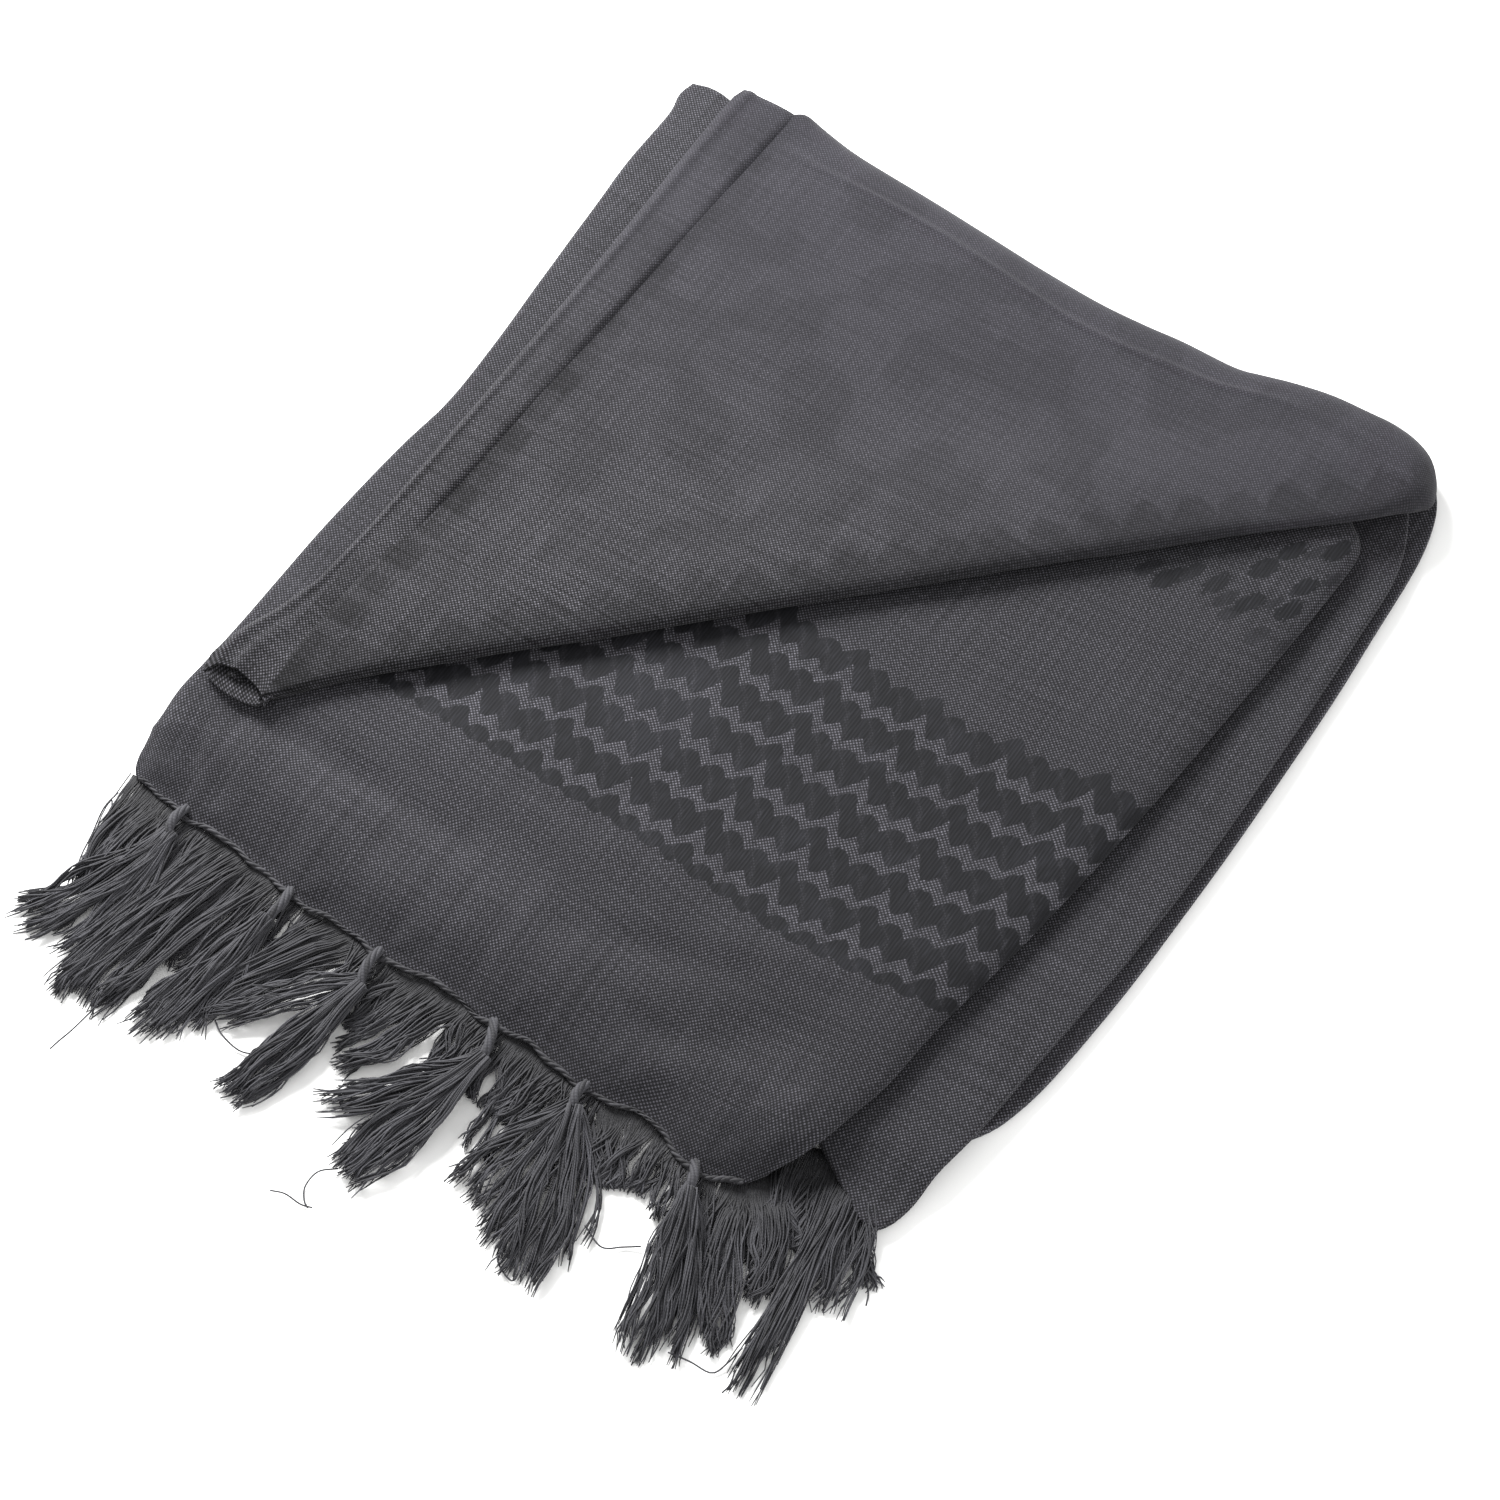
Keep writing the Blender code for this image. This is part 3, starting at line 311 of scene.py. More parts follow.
# Loose threads on the floor: group and places that each passes
STRAYS = (
    (1, (-127.5, -158.2), (-127.5, -164.7), (-125.3, -172.9), (-122.7, -181.6), (-119.1, -187.9)),
    (1, (-127.3, -161.3), (-121.4, -169.5), (-122.5, -178.2), (-117.7, -188.6)),
    (12, (-88.9, -218.0), (-89.5, -226.0), (-90.8, -230.6), (-91.0, -233.8)),
    (4, (-2.5, -219.0), (-6.3, -222.9), (-6.9, -228.0), (-4.4, -231.7), (-2.1, -233.0)),
    (4, (-13.9, -234.4), (-9.8, -233.1), (-4.8, -233.0), (-1.3, -232.2)),
    (14, (46.7, -211.9), (50.0, -217.5), (56.1, -219.7), (55.9, -215.6)),
    (5, (63.2, -195.7), (70.5, -198.6), (75.0, -195.2), (79.2, -192.4)),
    (6, (102.5, -213.6), (108.9, -212.7), (115.3, -211.9), (117.3, -207.2), (118.2, -201.8)),
    (6, (120.1, -208.0), (121.3, -212.3), (120.6, -215.1)),
    (3, (-58.4, -201.5), (-53.8, -204.2), (-46.8, -205.1), (-41.0, -202.7)),
    (2, (-65.3, -169.7), (-62.5, -164.0), (-53.1, -169.4), (-54.9, -176.4)),
    (20, (121.7, -162.1), (130.8, -163.8), (137.0, -169.4), (138.9, -173.4)),
)

# The photo's camera: angles round and above the scarf in degrees, distance and aim in metres
CAMERA_AZIMUTH = 33.6
CAMERA_ELEVATION = 58.0
CAMERA_DISTANCE = 1.0925
CAMERA_AIM = (0.01625, -0.04465, 0.0)

# Lamps: name, place and width in metres, power in watts
LAMPS = (
    ("left_softbox", (-0.66, 0.36, 0.56), 0.5, 28.5),
    ("right_card", (0.90, -0.25, 0.22), 0.5, 6.0),
)


def smoothstep(value):
    """Soft ramp from 0 to 1."""
    value = np.clip(value, 0.0, 1.0)
    return value * value * (3.0 - 2.0 * value)


def rounded(table, steps):
    """Points on a rounded curve through a table's rows."""
    rows = np.array(table, dtype=float)
    padded = np.vstack([2 * rows[0] - rows[1], rows, 2 * rows[-1] - rows[-2]])
    out = []
    for a, b, c, d in zip(padded, padded[1:], padded[2:], padded[3:]):
        for t in np.linspace(0.0, 1.0, steps, endpoint=False):
            out.append(0.5 * (2 * b + (c - a) * t + (2 * a - 5 * b + 4 * c - d) * t ** 2
                              + (3 * b - a - 3 * c + d) * t ** 3))
    out.append(rows[-1])
    return np.array(out)


def even_side(table, cells):
    """Points along an open side at even steps, through a rounded curve."""
    fine = rounded(table, 8)
    steps = np.hypot(*np.diff(fine[:, :2], axis=0).T)
    length = np.concatenate([[0.0], np.cumsum(steps)])
    wanted = np.linspace(0.0, length[-1], cells + 1)
    return np.column_stack([np.interp(wanted, length, fine[:, k]) for k in range(fine.shape[1])])


def even_loop(table, count):
    """Closed outline through a table's points, at even steps."""
    return even_side(list(table) + [table[0]], count)[:-1, :2]


def inward_normals(loop, passes):
    """Directions that point into an anticlockwise loop, softened at its corners."""
    tangent = np.roll(loop, -1, axis=0) - np.roll(loop, 1, axis=0)
    normal = np.column_stack([-tangent[:, 1], tangent[:, 0]])
    normal /= np.linalg.norm(normal, axis=1)[:, None]
    for _ in range(passes):
        normal = np.roll(normal, 1, axis=0) + 2 * normal + np.roll(normal, -1, axis=0)
        normal /= np.linalg.norm(normal, axis=1)[:, None]
    return normal


def softened(loop, passes):
    """A closed line whose points move toward their neighbours in each pass."""
    for _ in range(passes):
        loop = (np.roll(loop, 1, axis=0) + 2 * loop + np.roll(loop, -1, axis=0)) / 4.0
    return loop


def line_folds(table, x, y, thinning):
    """Height of soft troughs and ridges along straight lines, less by thinning at their ends."""
    total = np.zeros_like(x)
    for x0, y0, x1, y1, half, height in table:
        dx, dy = x1 - x0, y1 - y0
        t = np.clip(((x - x0) * dx + (y - y0) * dy) / (dx * dx + dy * dy), 0.0, 1.0)
        away = np.hypot(x - x0 - t * dx, y - y0 - t * dy)
        total = total + height * np.exp(-(away / half) ** 2) * (1.0 - thinning * np.abs(2.0 * t - 1.0))
    return total


def panel_height(x, y):
    """Height of the top panel's upper face away from its edges."""
    swell = 0.5 * np.cos(x / 58.0) * np.cos((y + 20.0) / 74.0)
    front = FRONT_SINK * smoothstep((FRONT_SINK_START - y) / 46.0) * smoothstep((104.0 - x) / 34.0)
    return TOP_HEIGHT + swell - front + line_folds(PANEL_CREASES, x, y, 0.0)


def gathers(x, y):
    """Small folds that run up from each knot, and the finger-wide ripples of the hem."""
    total = np.zeros_like(x)
    for k, (kx, ky, _, _) in enumerate(HEM_KNOTS):
        dx, dy = x - kx, y - ky
        far = np.hypot(dx, dy)
        angle = np.arctan2(dx, np.maximum(dy, 0.1))
        size = np.exp(-(far / 15.0) ** 2) * smoothstep(far / 5.0)
        total = total + 0.75 * size * np.cos(angle * (5.0 + 0.6 * k) + 1.3 * k)
        total = total - 0.9 * np.exp(-(dx / 3.2) ** 2) * np.exp(-((dy - 4.0) / 9.0) ** 2)
    low = smoothstep((-132.0 - y) / 20.0)
    total = total + low * (0.28 * np.sin(x / 3.7 + 0.7 * np.sin(x / 11.0)) + 0.2 * np.sin(x / 7.9 + 1.0))
    return total


def cloth_waves(x, y):
    """Faint unevenness of a cloth that has been folded and smoothed by hand."""
    waves = 0.16 * np.sin(0.061 * x + 0.043 * y + 0.6) + 0.12 * np.sin(0.034 * x - 0.098 * y + 2.1)
    waves = waves + 0.07 * np.sin(0.171 * x + 0.087 * y) * np.sin(0.05 * y + 0.4)
    return waves + 0.05 * np.sin(0.23 * y - 0.06 * x + 1.0)


def panel_surface(x, y):
    """The top panel's upper face with its small folds."""
    folds = HAND_FOLD_GAIN * line_folds(HAND_FOLDS, x, y, 0.5)
    return panel_height(x, y) + gathers(x, y) + cloth_waves(x, y) + folds


def diagonal_place(x, y):
    """Distance of places on the flap from its diagonal fold, and x where they meet the fold."""
    x0, y0 = FLAP_DIAGONAL[0][:2]
    x1, y1 = FLAP_DIAGONAL[-1][:2]
    run = math.hypot(x1 - x0, y1 - y0)
    dx, dy = (x1 - x0) / run, (y1 - y0) / run
    away = (y - y0) * dx - (x - x0) * dy
    foot = (x - x0) * dx + (y - y0) * dy
    return away, x0 + foot * dx


def roll_lift(x):
    """Lift of the flap's diagonal fold, which thins toward both of its ends."""
    tip = 1.0 - 0.62 * smoothstep((x - 84.0) / 50.0) - 0.5 * smoothstep((-72.0 - x) / 34.0)
    return FLAP_REST_LIFT + (FLAP_ROLL_LIFT - FLAP_REST_LIFT) * tip


def roll_size(x, y):
    """Size of the diagonal roll at places on it, as a share of its collar's table."""
    return (roll_lift(diagonal_place(x, y)[1]) - SEAM_GAP - 0.2) / -DIAGONAL_ROLL[-1][1]


def full_size(x, y):
    """A collar that keeps its table's size."""
    return np.ones_like(x)


def flap_height(x, y):
    """Height of the flap's upper face, raised where its diagonal fold rolls."""
    away, foot = diagonal_place(x, y)
    near = 1.0 - smoothstep((away - 15.0) / FLAP_ROLL_REACH)
    lift = FLAP_REST_LIFT + (roll_lift(foot) - FLAP_REST_LIFT) * near
    ripple = 0.2 * np.sin(0.055 * (x + 1.3 * y)) + 0.15 * np.sin(0.09 * (x - y) + 1.0)
    return panel_height(x, y) + lift + ripple * (1.0 - near)


def flap_surface(x, y):
    """The flap's upper face with its faint unevenness."""
    away = diagonal_place(x, y)[0]
    along = 0.14 * np.sin(0.19 * away + 0.02 * x) * np.exp(-((away - 20.0) / 30.0) ** 2)
    edge = np.array(FLAP_FAR + FLAP_SHORT, dtype=float)[::-1]
    inside = np.interp(x, edge[:, 0], edge[:, 1]) - FAR_CREASE - 1.2 * np.sin(x / 19.0) - y
    crease = 0.5 * np.exp(-(inside / 1.4) ** 2) - 0.6 * smoothstep(-inside / 3.0)
    crease = crease * smoothstep((x + 100.0) / 14.0) * smoothstep((104.0 - x) / 40.0)
    return flap_height(x, y) + along + crease + 0.5 * cloth_waves(x + 40.0, y - 25.0)


def select_only(piece):
    """Leaves one object selected and active."""
    bpy.ops.object.select_all(action="DESELECT")
    piece.select_set(True)
    bpy.context.view_layer.objects.active = piece


def piece_from(name, points, faces, flat_places, finish):
    """A smooth piece from points in millimetres, with the cloth's own places as its UV map."""
    mesh = bpy.data.meshes.new(name)
    mesh.from_pydata((np.asarray(points) * MM).tolist(), [], faces)
    mesh.update()
    spots = np.zeros(len(mesh.loops), dtype=np.int32)
    mesh.loops.foreach_get("vertex_index", spots)
    layer = mesh.uv_layers.new(name="cloth")
    layer.data.foreach_set("uv", (np.asarray(flat_places)[spots] * MM).astype(np.float32).ravel())
    mesh.materials.append(finish)
    piece = bpy.data.objects.new(name, mesh)
    bpy.context.scene.collection.objects.link(piece)
    select_only(piece)
    bpy.ops.object.shade_smooth()
    return piece


def give_wall(piece, wall):
    """Gives a sheet its thickness, inward from its upper face."""
    select_only(piece)
    shell = piece.modifiers.new("cloth wall", "SOLIDIFY")
    shell.thickness = wall
    shell.offset = -1.0
    shell.use_even_offset = False
    bpy.ops.object.modifier_apply(modifier=shell.name)


def dress(piece, slot, *nodes):
    """Lets a piece ride on the part in place of its solids."""
    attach(piece, "root")
    if nodes:
        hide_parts(*nodes)


def collared_sheet(name, sides, collars, height, base, size, pinch, cells, plan, finish):
    """Cloth sheet: a grid inside four sides, and rings round it that turn its edge down or under.

    Each collar is a table of inset and drop, blended by the sides' extra columns. plan turns a
    place in plan into the cloth's own place, which the weave follows.
    """
    near = even_side(sides[0], cells[0])
    right = even_side(sides[1], cells[1])
    far = even_side(sides[2], cells[0])
    left = even_side(sides[3], cells[1])
    loop = np.vstack([near[:-1], right[:-1], far[:-1], left[:-1]])
    count = len(loop)
    # The passes grow with the square of the points, from 3 at 76 points and 90 at 560
    corner_passes = int(3 * (count / 76.0) ** 2)
    even_passes = int(90 * (count / 560.0) ** 2)
    normal = inward_normals(loop[:, :2], corner_passes)
    share = np.clip(loop[:, 2:4], 0.0, 1.0)
    first = np.clip(1.0 - share.sum(axis=1), 0.0, 1.0)
    scale = size(loop[:, 0], loop[:, 1])
    tip = smoothstep(np.hypot(loop[:, 0] - pinch[0], loop[:, 1] - pinch[1]) / pinch[2])
    narrow = 0.3 + 0.7 * tip
    rings, places = [], []
    for plain, draped, rolled in zip(*(rounded(table, 4) for table in collars)):
        blend = first[:, None] * plain + share[:, 0:1] * draped
        blend = blend + share[:, 1:2] * scale[:, None] * rolled
        flat = loop[:, :2] + normal * (blend[:, 0] * narrow)[:, None]
        flat = flat + (softened(flat, even_passes) - flat) * smoothstep((blend[:, 0:1] - 5.0) / 15.0)
        wave = height(flat[:, 0], flat[:, 1]) - base
        fade = 1.0 - np.minimum(-blend[:, 1] / 12.0, 1.0) * (base > 0)
        ring = np.column_stack([flat, base + wave * fade + blend[:, 1]])
        if rings:
            stride = np.linalg.norm(ring - rings[-1], axis=1)
            places.append(places[-1] - normal * stride[:, None])
        else:
            places.append(flat)
        rings.append(ring)
    nx, ny = cells
    inner = rings[0][:, :2]
    n_side = inner[:nx + 1]
    r_side = inner[nx:nx + ny + 1]
    f_side = inner[nx + ny:2 * nx + ny + 1][::-1]
    l_side = np.vstack([inner[2 * nx + ny:], inner[:1]])[::-1]
    s = np.linspace(0.0, 1.0, nx + 1)[None, :, None]
    t = np.linspace(0.0, 1.0, ny + 1)[:, None, None]
    grid = (1 - t) * n_side[None] + t * f_side[None] + (1 - s) * l_side[:, None] + s * r_side[:, None]
    grid = grid - (1 - s) * (1 - t) * n_side[0] - s * (1 - t) * n_side[-1]
    grid = grid - (1 - s) * t * f_side[0] - s * t * f_side[-1]
    grid = grid.reshape(-1, 2)
    points = [np.column_stack([grid, height(grid[:, 0], grid[:, 1])])]
    index = np.arange((nx + 1) * (ny + 1)).reshape(ny + 1, nx + 1)
    border = list(index[0, :-1]) + list(index[:-1, -1]) + list(index[-1, :0:-1]) + list(index[:0:-1, 0])
    quads = np.stack([index[:-1, :-1], index[:-1, 1:], index[1:, 1:], index[1:, :-1]], axis=-1)
    faces = quads.reshape(-1, 4).tolist()
    points[0][border] = rings[0]
    before = np.array(border)
    start = len(points[0])
    for ring in rings[1:]:
        points.append(ring)
        here = np.arange(start, start + count)
        faces.extend(np.stack([np.roll(before, -1), before, here, np.roll(here, -1)], axis=-1).tolist())
        before = here
        start += count
    flat_places = plan(np.vstack([grid] + places[1:]))
    piece = piece_from(name, np.vstack(points), faces, flat_places, finish)
    give_wall(piece, sizes().cloth_wall)
    return piece


def panel_plan(flat):
    """Places on the top panel's cloth: straight across the woven band."""
    table = np.array(BAND_DRIFT, dtype=float)
    drift = np.interp(flat[:, 0], table[:, 0], table[:, 1])
    return np.column_stack([flat[:, 0], flat[:, 1] - drift])


def flap_plan(flat):
    """Places on the turned-back corner's cloth, which lies mirrored over the diagonal."""
    return flat[:, ::-1] + np.array(FLAP_PLACE)


def lower_plan(flat):
    """Places on the cloth of the panels below, away from the woven band."""
    return flat + np.array(LOWER_PLACE)


def rolled_profile(levels, depth, top_insets, steps=8):
    """Edge profile of folded layers: one round bulge for each pair of levels."""
    rows = []
    for low, high in zip(levels[:-1], levels[1:]):
        radius = (high - low) / 2.0
        for k in range(steps + 1):
            turn = math.pi * k / steps - math.pi / 2.0
            inset = radius * 0.9 * (1.0 - math.cos(turn))
            rows.append((min(inset, depth), (low + high) / 2.0 + radius * math.sin(turn)))
    return rows + [(inset, levels[-1]) for inset in top_insets]


def folded_slab(name, edge, under, profile, height, count, passes, finish):
    """Folded layers seen from their edge: rings set in from one outline and a closed top."""
    loop = even_loop(edge, count)
    normal = inward_normals(loop, passes)
    # The passes grow with the square of the points, from 110 at 420 points
    even_passes = int(110 * (count / 420.0) ** 2)
    stations = [(inset, profile[0][1]) for inset in under] + list(profile)
    rings, places = [], []
    for inset, level in stations:
        flat = loop + normal * inset
        if inset > 7.0:
            flat = softened(flat, even_passes)
        rings.append(np.column_stack([flat, height(flat[:, 0], flat[:, 1], level)]))
        places.append(flat)
    rim = max(k for k, (inset, _) in enumerate(stations) if inset < 4.5)
    for k in range(rim, -1, -1):
        stride = np.linalg.norm(rings[k] - rings[k + 1], axis=1)
        places[k] = places[k + 1] - normal * stride[:, None]
    middle = loop.mean(axis=0)
    top, top_level = rings[-1], profile[-1][1]
    for shrink in (0.94, 0.84, 0.7, 0.5, 0.25):
        flat = middle + (top[:, :2] - middle) * shrink
        rings.append(np.column_stack([flat, height(flat[:, 0], flat[:, 1], top_level)]))
        places.append(flat)
    faces = []
    for k in range(len(rings) - 1):
        a = np.arange(count) + k * count
        b = a + count
        faces.extend(np.stack([a, np.roll(a, -1), np.roll(b, -1), b], axis=-1).tolist())
    last = np.arange(count) + (len(rings) - 1) * count
    centre = np.array([[middle[0], middle[1], 0.0]])
    centre[:, 2] = height(centre[:, 0], centre[:, 1], top_level)
    rings.append(centre)
    places.append(centre[:, :2])
    faces.extend(np.stack([last, np.roll(last, -1), np.full(count, last[-1] + 1)], axis=-1).tolist())
    faces.append(list(range(count - 1, -1, -1)))
    return piece_from(name, np.vstack(rings), faces, lower_plan(np.vstack(places)), finish)


def tubes(paths, radii, sides, turn=0.0):
    """Points and faces of many closed tubes. paths: threads x stations x 3, radii the same x 1."""
    paths = np.asarray(paths, dtype=float)
    threads, stations = paths.shape[:2]
    run = np.gradient(paths, axis=1)
    run /= np.maximum(np.linalg.norm(run, axis=2), 1e-9)[:, :, None]
    side = np.cross(run, np.array([0.0, 0.0, 1.0]))
    side /= np.maximum(np.linalg.norm(side, axis=2), 1e-6)[:, :, None]
    up = np.cross(side, run)
    angles = 2.0 * math.pi * np.arange(sides) / sides + math.pi / 2.0
    ring = paths[:, :, None] + radii[:, :, None, None] * (
        np.cos(angles + turn)[None, None, :, None] * side[:, :, None]
        + np.sin(angles + turn)[None, None, :, None] * up[:, :, None])
    points = ring.reshape(-1, 3)
    base = np.arange(threads * stations * sides).reshape(threads, stations, sides)
    a, b = base[:, :-1], base[:, 1:]
    walls = np.stack([a, b, np.roll(b, -1, axis=2), np.roll(a, -1, axis=2)], axis=-1)
    faces = walls.reshape(-1, 4).tolist()
    faces.extend(base[:, 0, :].tolist())
    faces.extend(base[:, -1, ::-1].tolist())
    return points, faces


class Field:
    """A shader value: arithmetic on it adds Math nodes."""

    def __init__(self, finish, socket):
        self.finish = finish
        self.socket = socket

    def __add__(self, other):
        return self.finish.math("ADD", self, other)

    def __radd__(self, other):
        return self.finish.math("ADD", other, self)

    def __sub__(self, other):
        return self.finish.math("SUBTRACT", self, other)

    def __rsub__(self, other):
        return self.finish.math("SUBTRACT", other, self)

    def __mul__(self, other):
        return self.finish.math("MULTIPLY", self, other)

    def __rmul__(self, other):
        return self.finish.math("MULTIPLY", other, self)

    def __truediv__(self, other):
        return self.finish.math("DIVIDE", self, other)

    def __rtruediv__(self, other):
        return self.finish.math("DIVIDE", other, self)

    def sine(self):
        """Sine of an angle in radians."""
        return self.finish.math("SINE", self)

    def absolute(self):
        """The value without its sign."""
        return self.finish.math("ABSOLUTE", self)

    def floor(self):
        """The whole number below."""
        return self.finish.math("FLOOR", self)

    def fract(self):
        """What is left over the whole number below."""
        return self.finish.math("FRACT", self)

    def least(self, other):
        """The smaller of two values."""
        return self.finish.math("MINIMUM", self, other)

    def most(self, other):
        """The larger of two values."""
        return self.finish.math("MAXIMUM", self, other)

    def ramp(self, low, high):
        """0 below low, 1 above high, soft between."""
        node = self.finish.node("ShaderNodeMapRange", {"interpolation_type": "SMOOTHSTEP"},
                                {"Value": self, "From Min": low, "From Max": high})
        return Field(self.finish, node.outputs["Result"])


class Finish:
    """Builds one material's nodes. u and v are the cloth's own places in millimetres."""

    def __init__(self, name):
        self.material = bpy.data.materials.new(name)
        self.material.use_nodes = True
        self.tree = self.material.node_tree
        self.tree.nodes.clear()
        self.surface = self.node("ShaderNodeBsdfPrincipled", {})
        self.node("ShaderNodeOutputMaterial", {}, {"Surface": self.surface.outputs[0]})
        place = self.node("ShaderNodeUVMap", {"uv_map": "cloth"})
        parts = self.node("ShaderNodeSeparateXYZ", {}, {"Vector": place.outputs[0]})
        self.u = Field(self, parts.outputs[0]) * 1000.0
        self.v = Field(self, parts.outputs[1]) * 1000.0

    def feed(self, socket, value):
        """Links a value to a socket, or sets a number there."""
        if isinstance(value, Field):
            value = value.socket
        if isinstance(value, bpy.types.NodeSocket):
            self.tree.links.new(value, socket)
        else:
            socket.default_value = value

    def node(self, kind, settings, values=None):
        """Any node: its type, its settings, and the values or links of its sockets."""
        made = self.tree.nodes.new(kind)
        for key, value in settings.items():
            if key == "stops":
                ramp = made.color_ramp
                while len(ramp.elements) < len(value):
                    ramp.elements.new(0.5)
                for element, (spot, shade) in zip(ramp.elements, value):
                    element.position = spot
                    element.color = (shade, shade, shade, 1.0)
            else:
                setattr(made, key, value)
        for key, value in (values or {}).items():
            self.feed(made.inputs[key], value)
        return made

    def math(self, operation, *values):
        """Math node of values and numbers."""
        node = self.node("ShaderNodeMath", {"operation": operation}, dict(enumerate(values)))
        return Field(self, node.outputs[0])

    def noise(self, x, y, detail, seed):
        """Soft noise from 0 to 1 at a place given in its own cells."""
        spot = self.node("ShaderNodeCombineXYZ", {}, {"X": x, "Y": y, "Z": seed})
        made = self.node("ShaderNodeTexNoise", {"noise_dimensions": "3D"},
                         {"Vector": spot.outputs[0], "Scale": 1.0, "Detail": detail, "Roughness": 0.55})
        return Field(self, made.outputs[0])

    def table(self, share, rows):
        """Level looked up along one repeat of the band's light line."""
        low, high = LINE_RANGE
        stops = [(spot / rows[-1][0], (level - low) / (high - low)) for spot, level in rows]
        made = self.node("ShaderNodeValToRGB", {"stops": stops}, {"Fac": share})
        parts = self.node("ShaderNodeSeparateColor", {}, {"Color": made.outputs[0]})
        return Field(self, parts.outputs[0]) * (high - low) + low

    def mix(self, share, first, second):
        """Colour between two colours."""
        made = self.node("ShaderNodeMix", {"data_type": "RGBA"}, {"Factor": share, 6: first, 7: second})
        return made.outputs[2]

    def tint(self, colour, level):
        """A colour made lighter or darker by a value round 1."""
        grey = self.node("ShaderNodeCombineXYZ", {}, {"X": level, "Y": level, "Z": level})
        made = self.node("ShaderNodeMix", {"data_type": "RGBA", "blend_type": "MULTIPLY"},
                         {"Factor": 1.0, 6: colour, 7: grey.outputs[0]})
        return made.outputs[2]

    def cover(self, values, height, distance, strength):
        """Feeds the surface's sockets, and a relief in millimetres to its Normal."""
        for key, value in values.items():
            self.feed(self.surface.inputs[key], value)
        bump = self.node("ShaderNodeBump", {},
                         {"Height": height, "Distance": distance * MM, "Strength": strength})
        self.feed(self.surface.inputs["Normal"], bump.outputs[0])
        return self.material


def sizes():
    """The scarf's sizes and colours."""
    return bpy.context.scene.scarf_sizes


def woven_band(made):
    """The patterned band: shares of its long floats, and of the stepped light lines between them."""
    u, v, size = made.u, made.v, sizes()
    pitch = size.row_pitch / MM
    first = size.band_top / MM
    row = ((first + 5.6 - v) / pitch).floor().most(-1.0)
    rise = v - (first - row * pitch)
    below_top = (row + 1.0).least(1.0)
    jog = made.noise(u * 0.8, v * 0.8, 2.0, 3.0) * 1.6 - 0.8
    share = ((u - 30.0 + row * ROW_SHIFT) / (size.repeat / MM)).fract()
    # Above the first row the upper line is raised out of reach
    upper = made.table(share, LINE_UPPER) + (1.0 - below_top) * 400.0
    lower = made.table(share, LINE_LOWER)
    light = (upper - rise + jog).ramp(-0.35, 0.35).least((rise - lower + jog).ramp(-0.35, 0.35))
    lumps = (u * (math.pi / SCALLOP_WIDTH)).sine().absolute() * 1.6
    inside = (v + jog + lumps - size.band_bottom / MM).ramp(-0.4, 0.4)
    seat = u - DOT_START + row * ROW_SHIFT + (rise + 4.0) * 0.48
    gap = 1.0 - (seat * (math.pi / DOT_WIDTH)).sine().absolute().ramp(0.05, 0.5)
    inside = inside * (1.0 - gap * (jog * 0.3 + 0.28))
    inside = inside.least((u - BAND_LEFT).ramp(-1.0, 1.0))
    return (1.0 - light) * inside, light * inside * below_top


def second_field(made):
    """Share of long floats in the loose dots near the far right of the top panel."""
    u, v = made.u, made.v
    wobble = made.noise(u * 0.3, v * 0.3, 3.0, 9.0) * 4.0 - 2.0
    ragged = made.noise(u * 0.8, v * 0.7, 2.0, 10.0) * 2.4
    found = None
    for x, y, wide, tall, strength in SECOND_DOTS:
        up = (v - y + wobble) * (0.9 / tall)
        along = (u - x - (v - y) * 0.3 + wobble * 0.5) * (1.15 / wide)
        dot = (1.0 - (along * along + up * up + ragged).ramp(1.95, 2.35)) * strength
        found = dot if found is None else found.most(dot)
    return found


def float_look(made, pace, warp_yarn, slub, broad, fleck):
    """Lightness and relief of the long floats, lighter where they are rubbed."""
    u, v = made.u, made.v
    x, y, half_width, half_height = WORN
    across = (u - x) * (1.0 / half_width)
    along = (v - y) * (1.0 / half_height)
    rubbed = 1.0 - (across * across + along * along + slub * 2.2 + fleck).ramp(0.3, 1.3)
    worn = (made.noise(u * 0.05, v * 0.06, 2.0, 21.0) - 0.52).ramp(0.0, 0.16) * 0.35
    worn = worn.most(rubbed * 0.42)
    ribs = (u * (1.25 * pace)).sine()
    streak = made.noise(u * 1.9, v * 0.16, 1.0, 23.0).ramp(0.5, 0.85)
    level = 0.72 + ribs * 0.16 + slub * 0.5 + broad * 0.3 + warp_yarn * 0.4 + streak
    level = level + worn * (ribs.ramp(-0.2, 0.9) * 1.5 + 0.5)
    return level, ribs * 0.35 + slub * 1.1 + 0.9


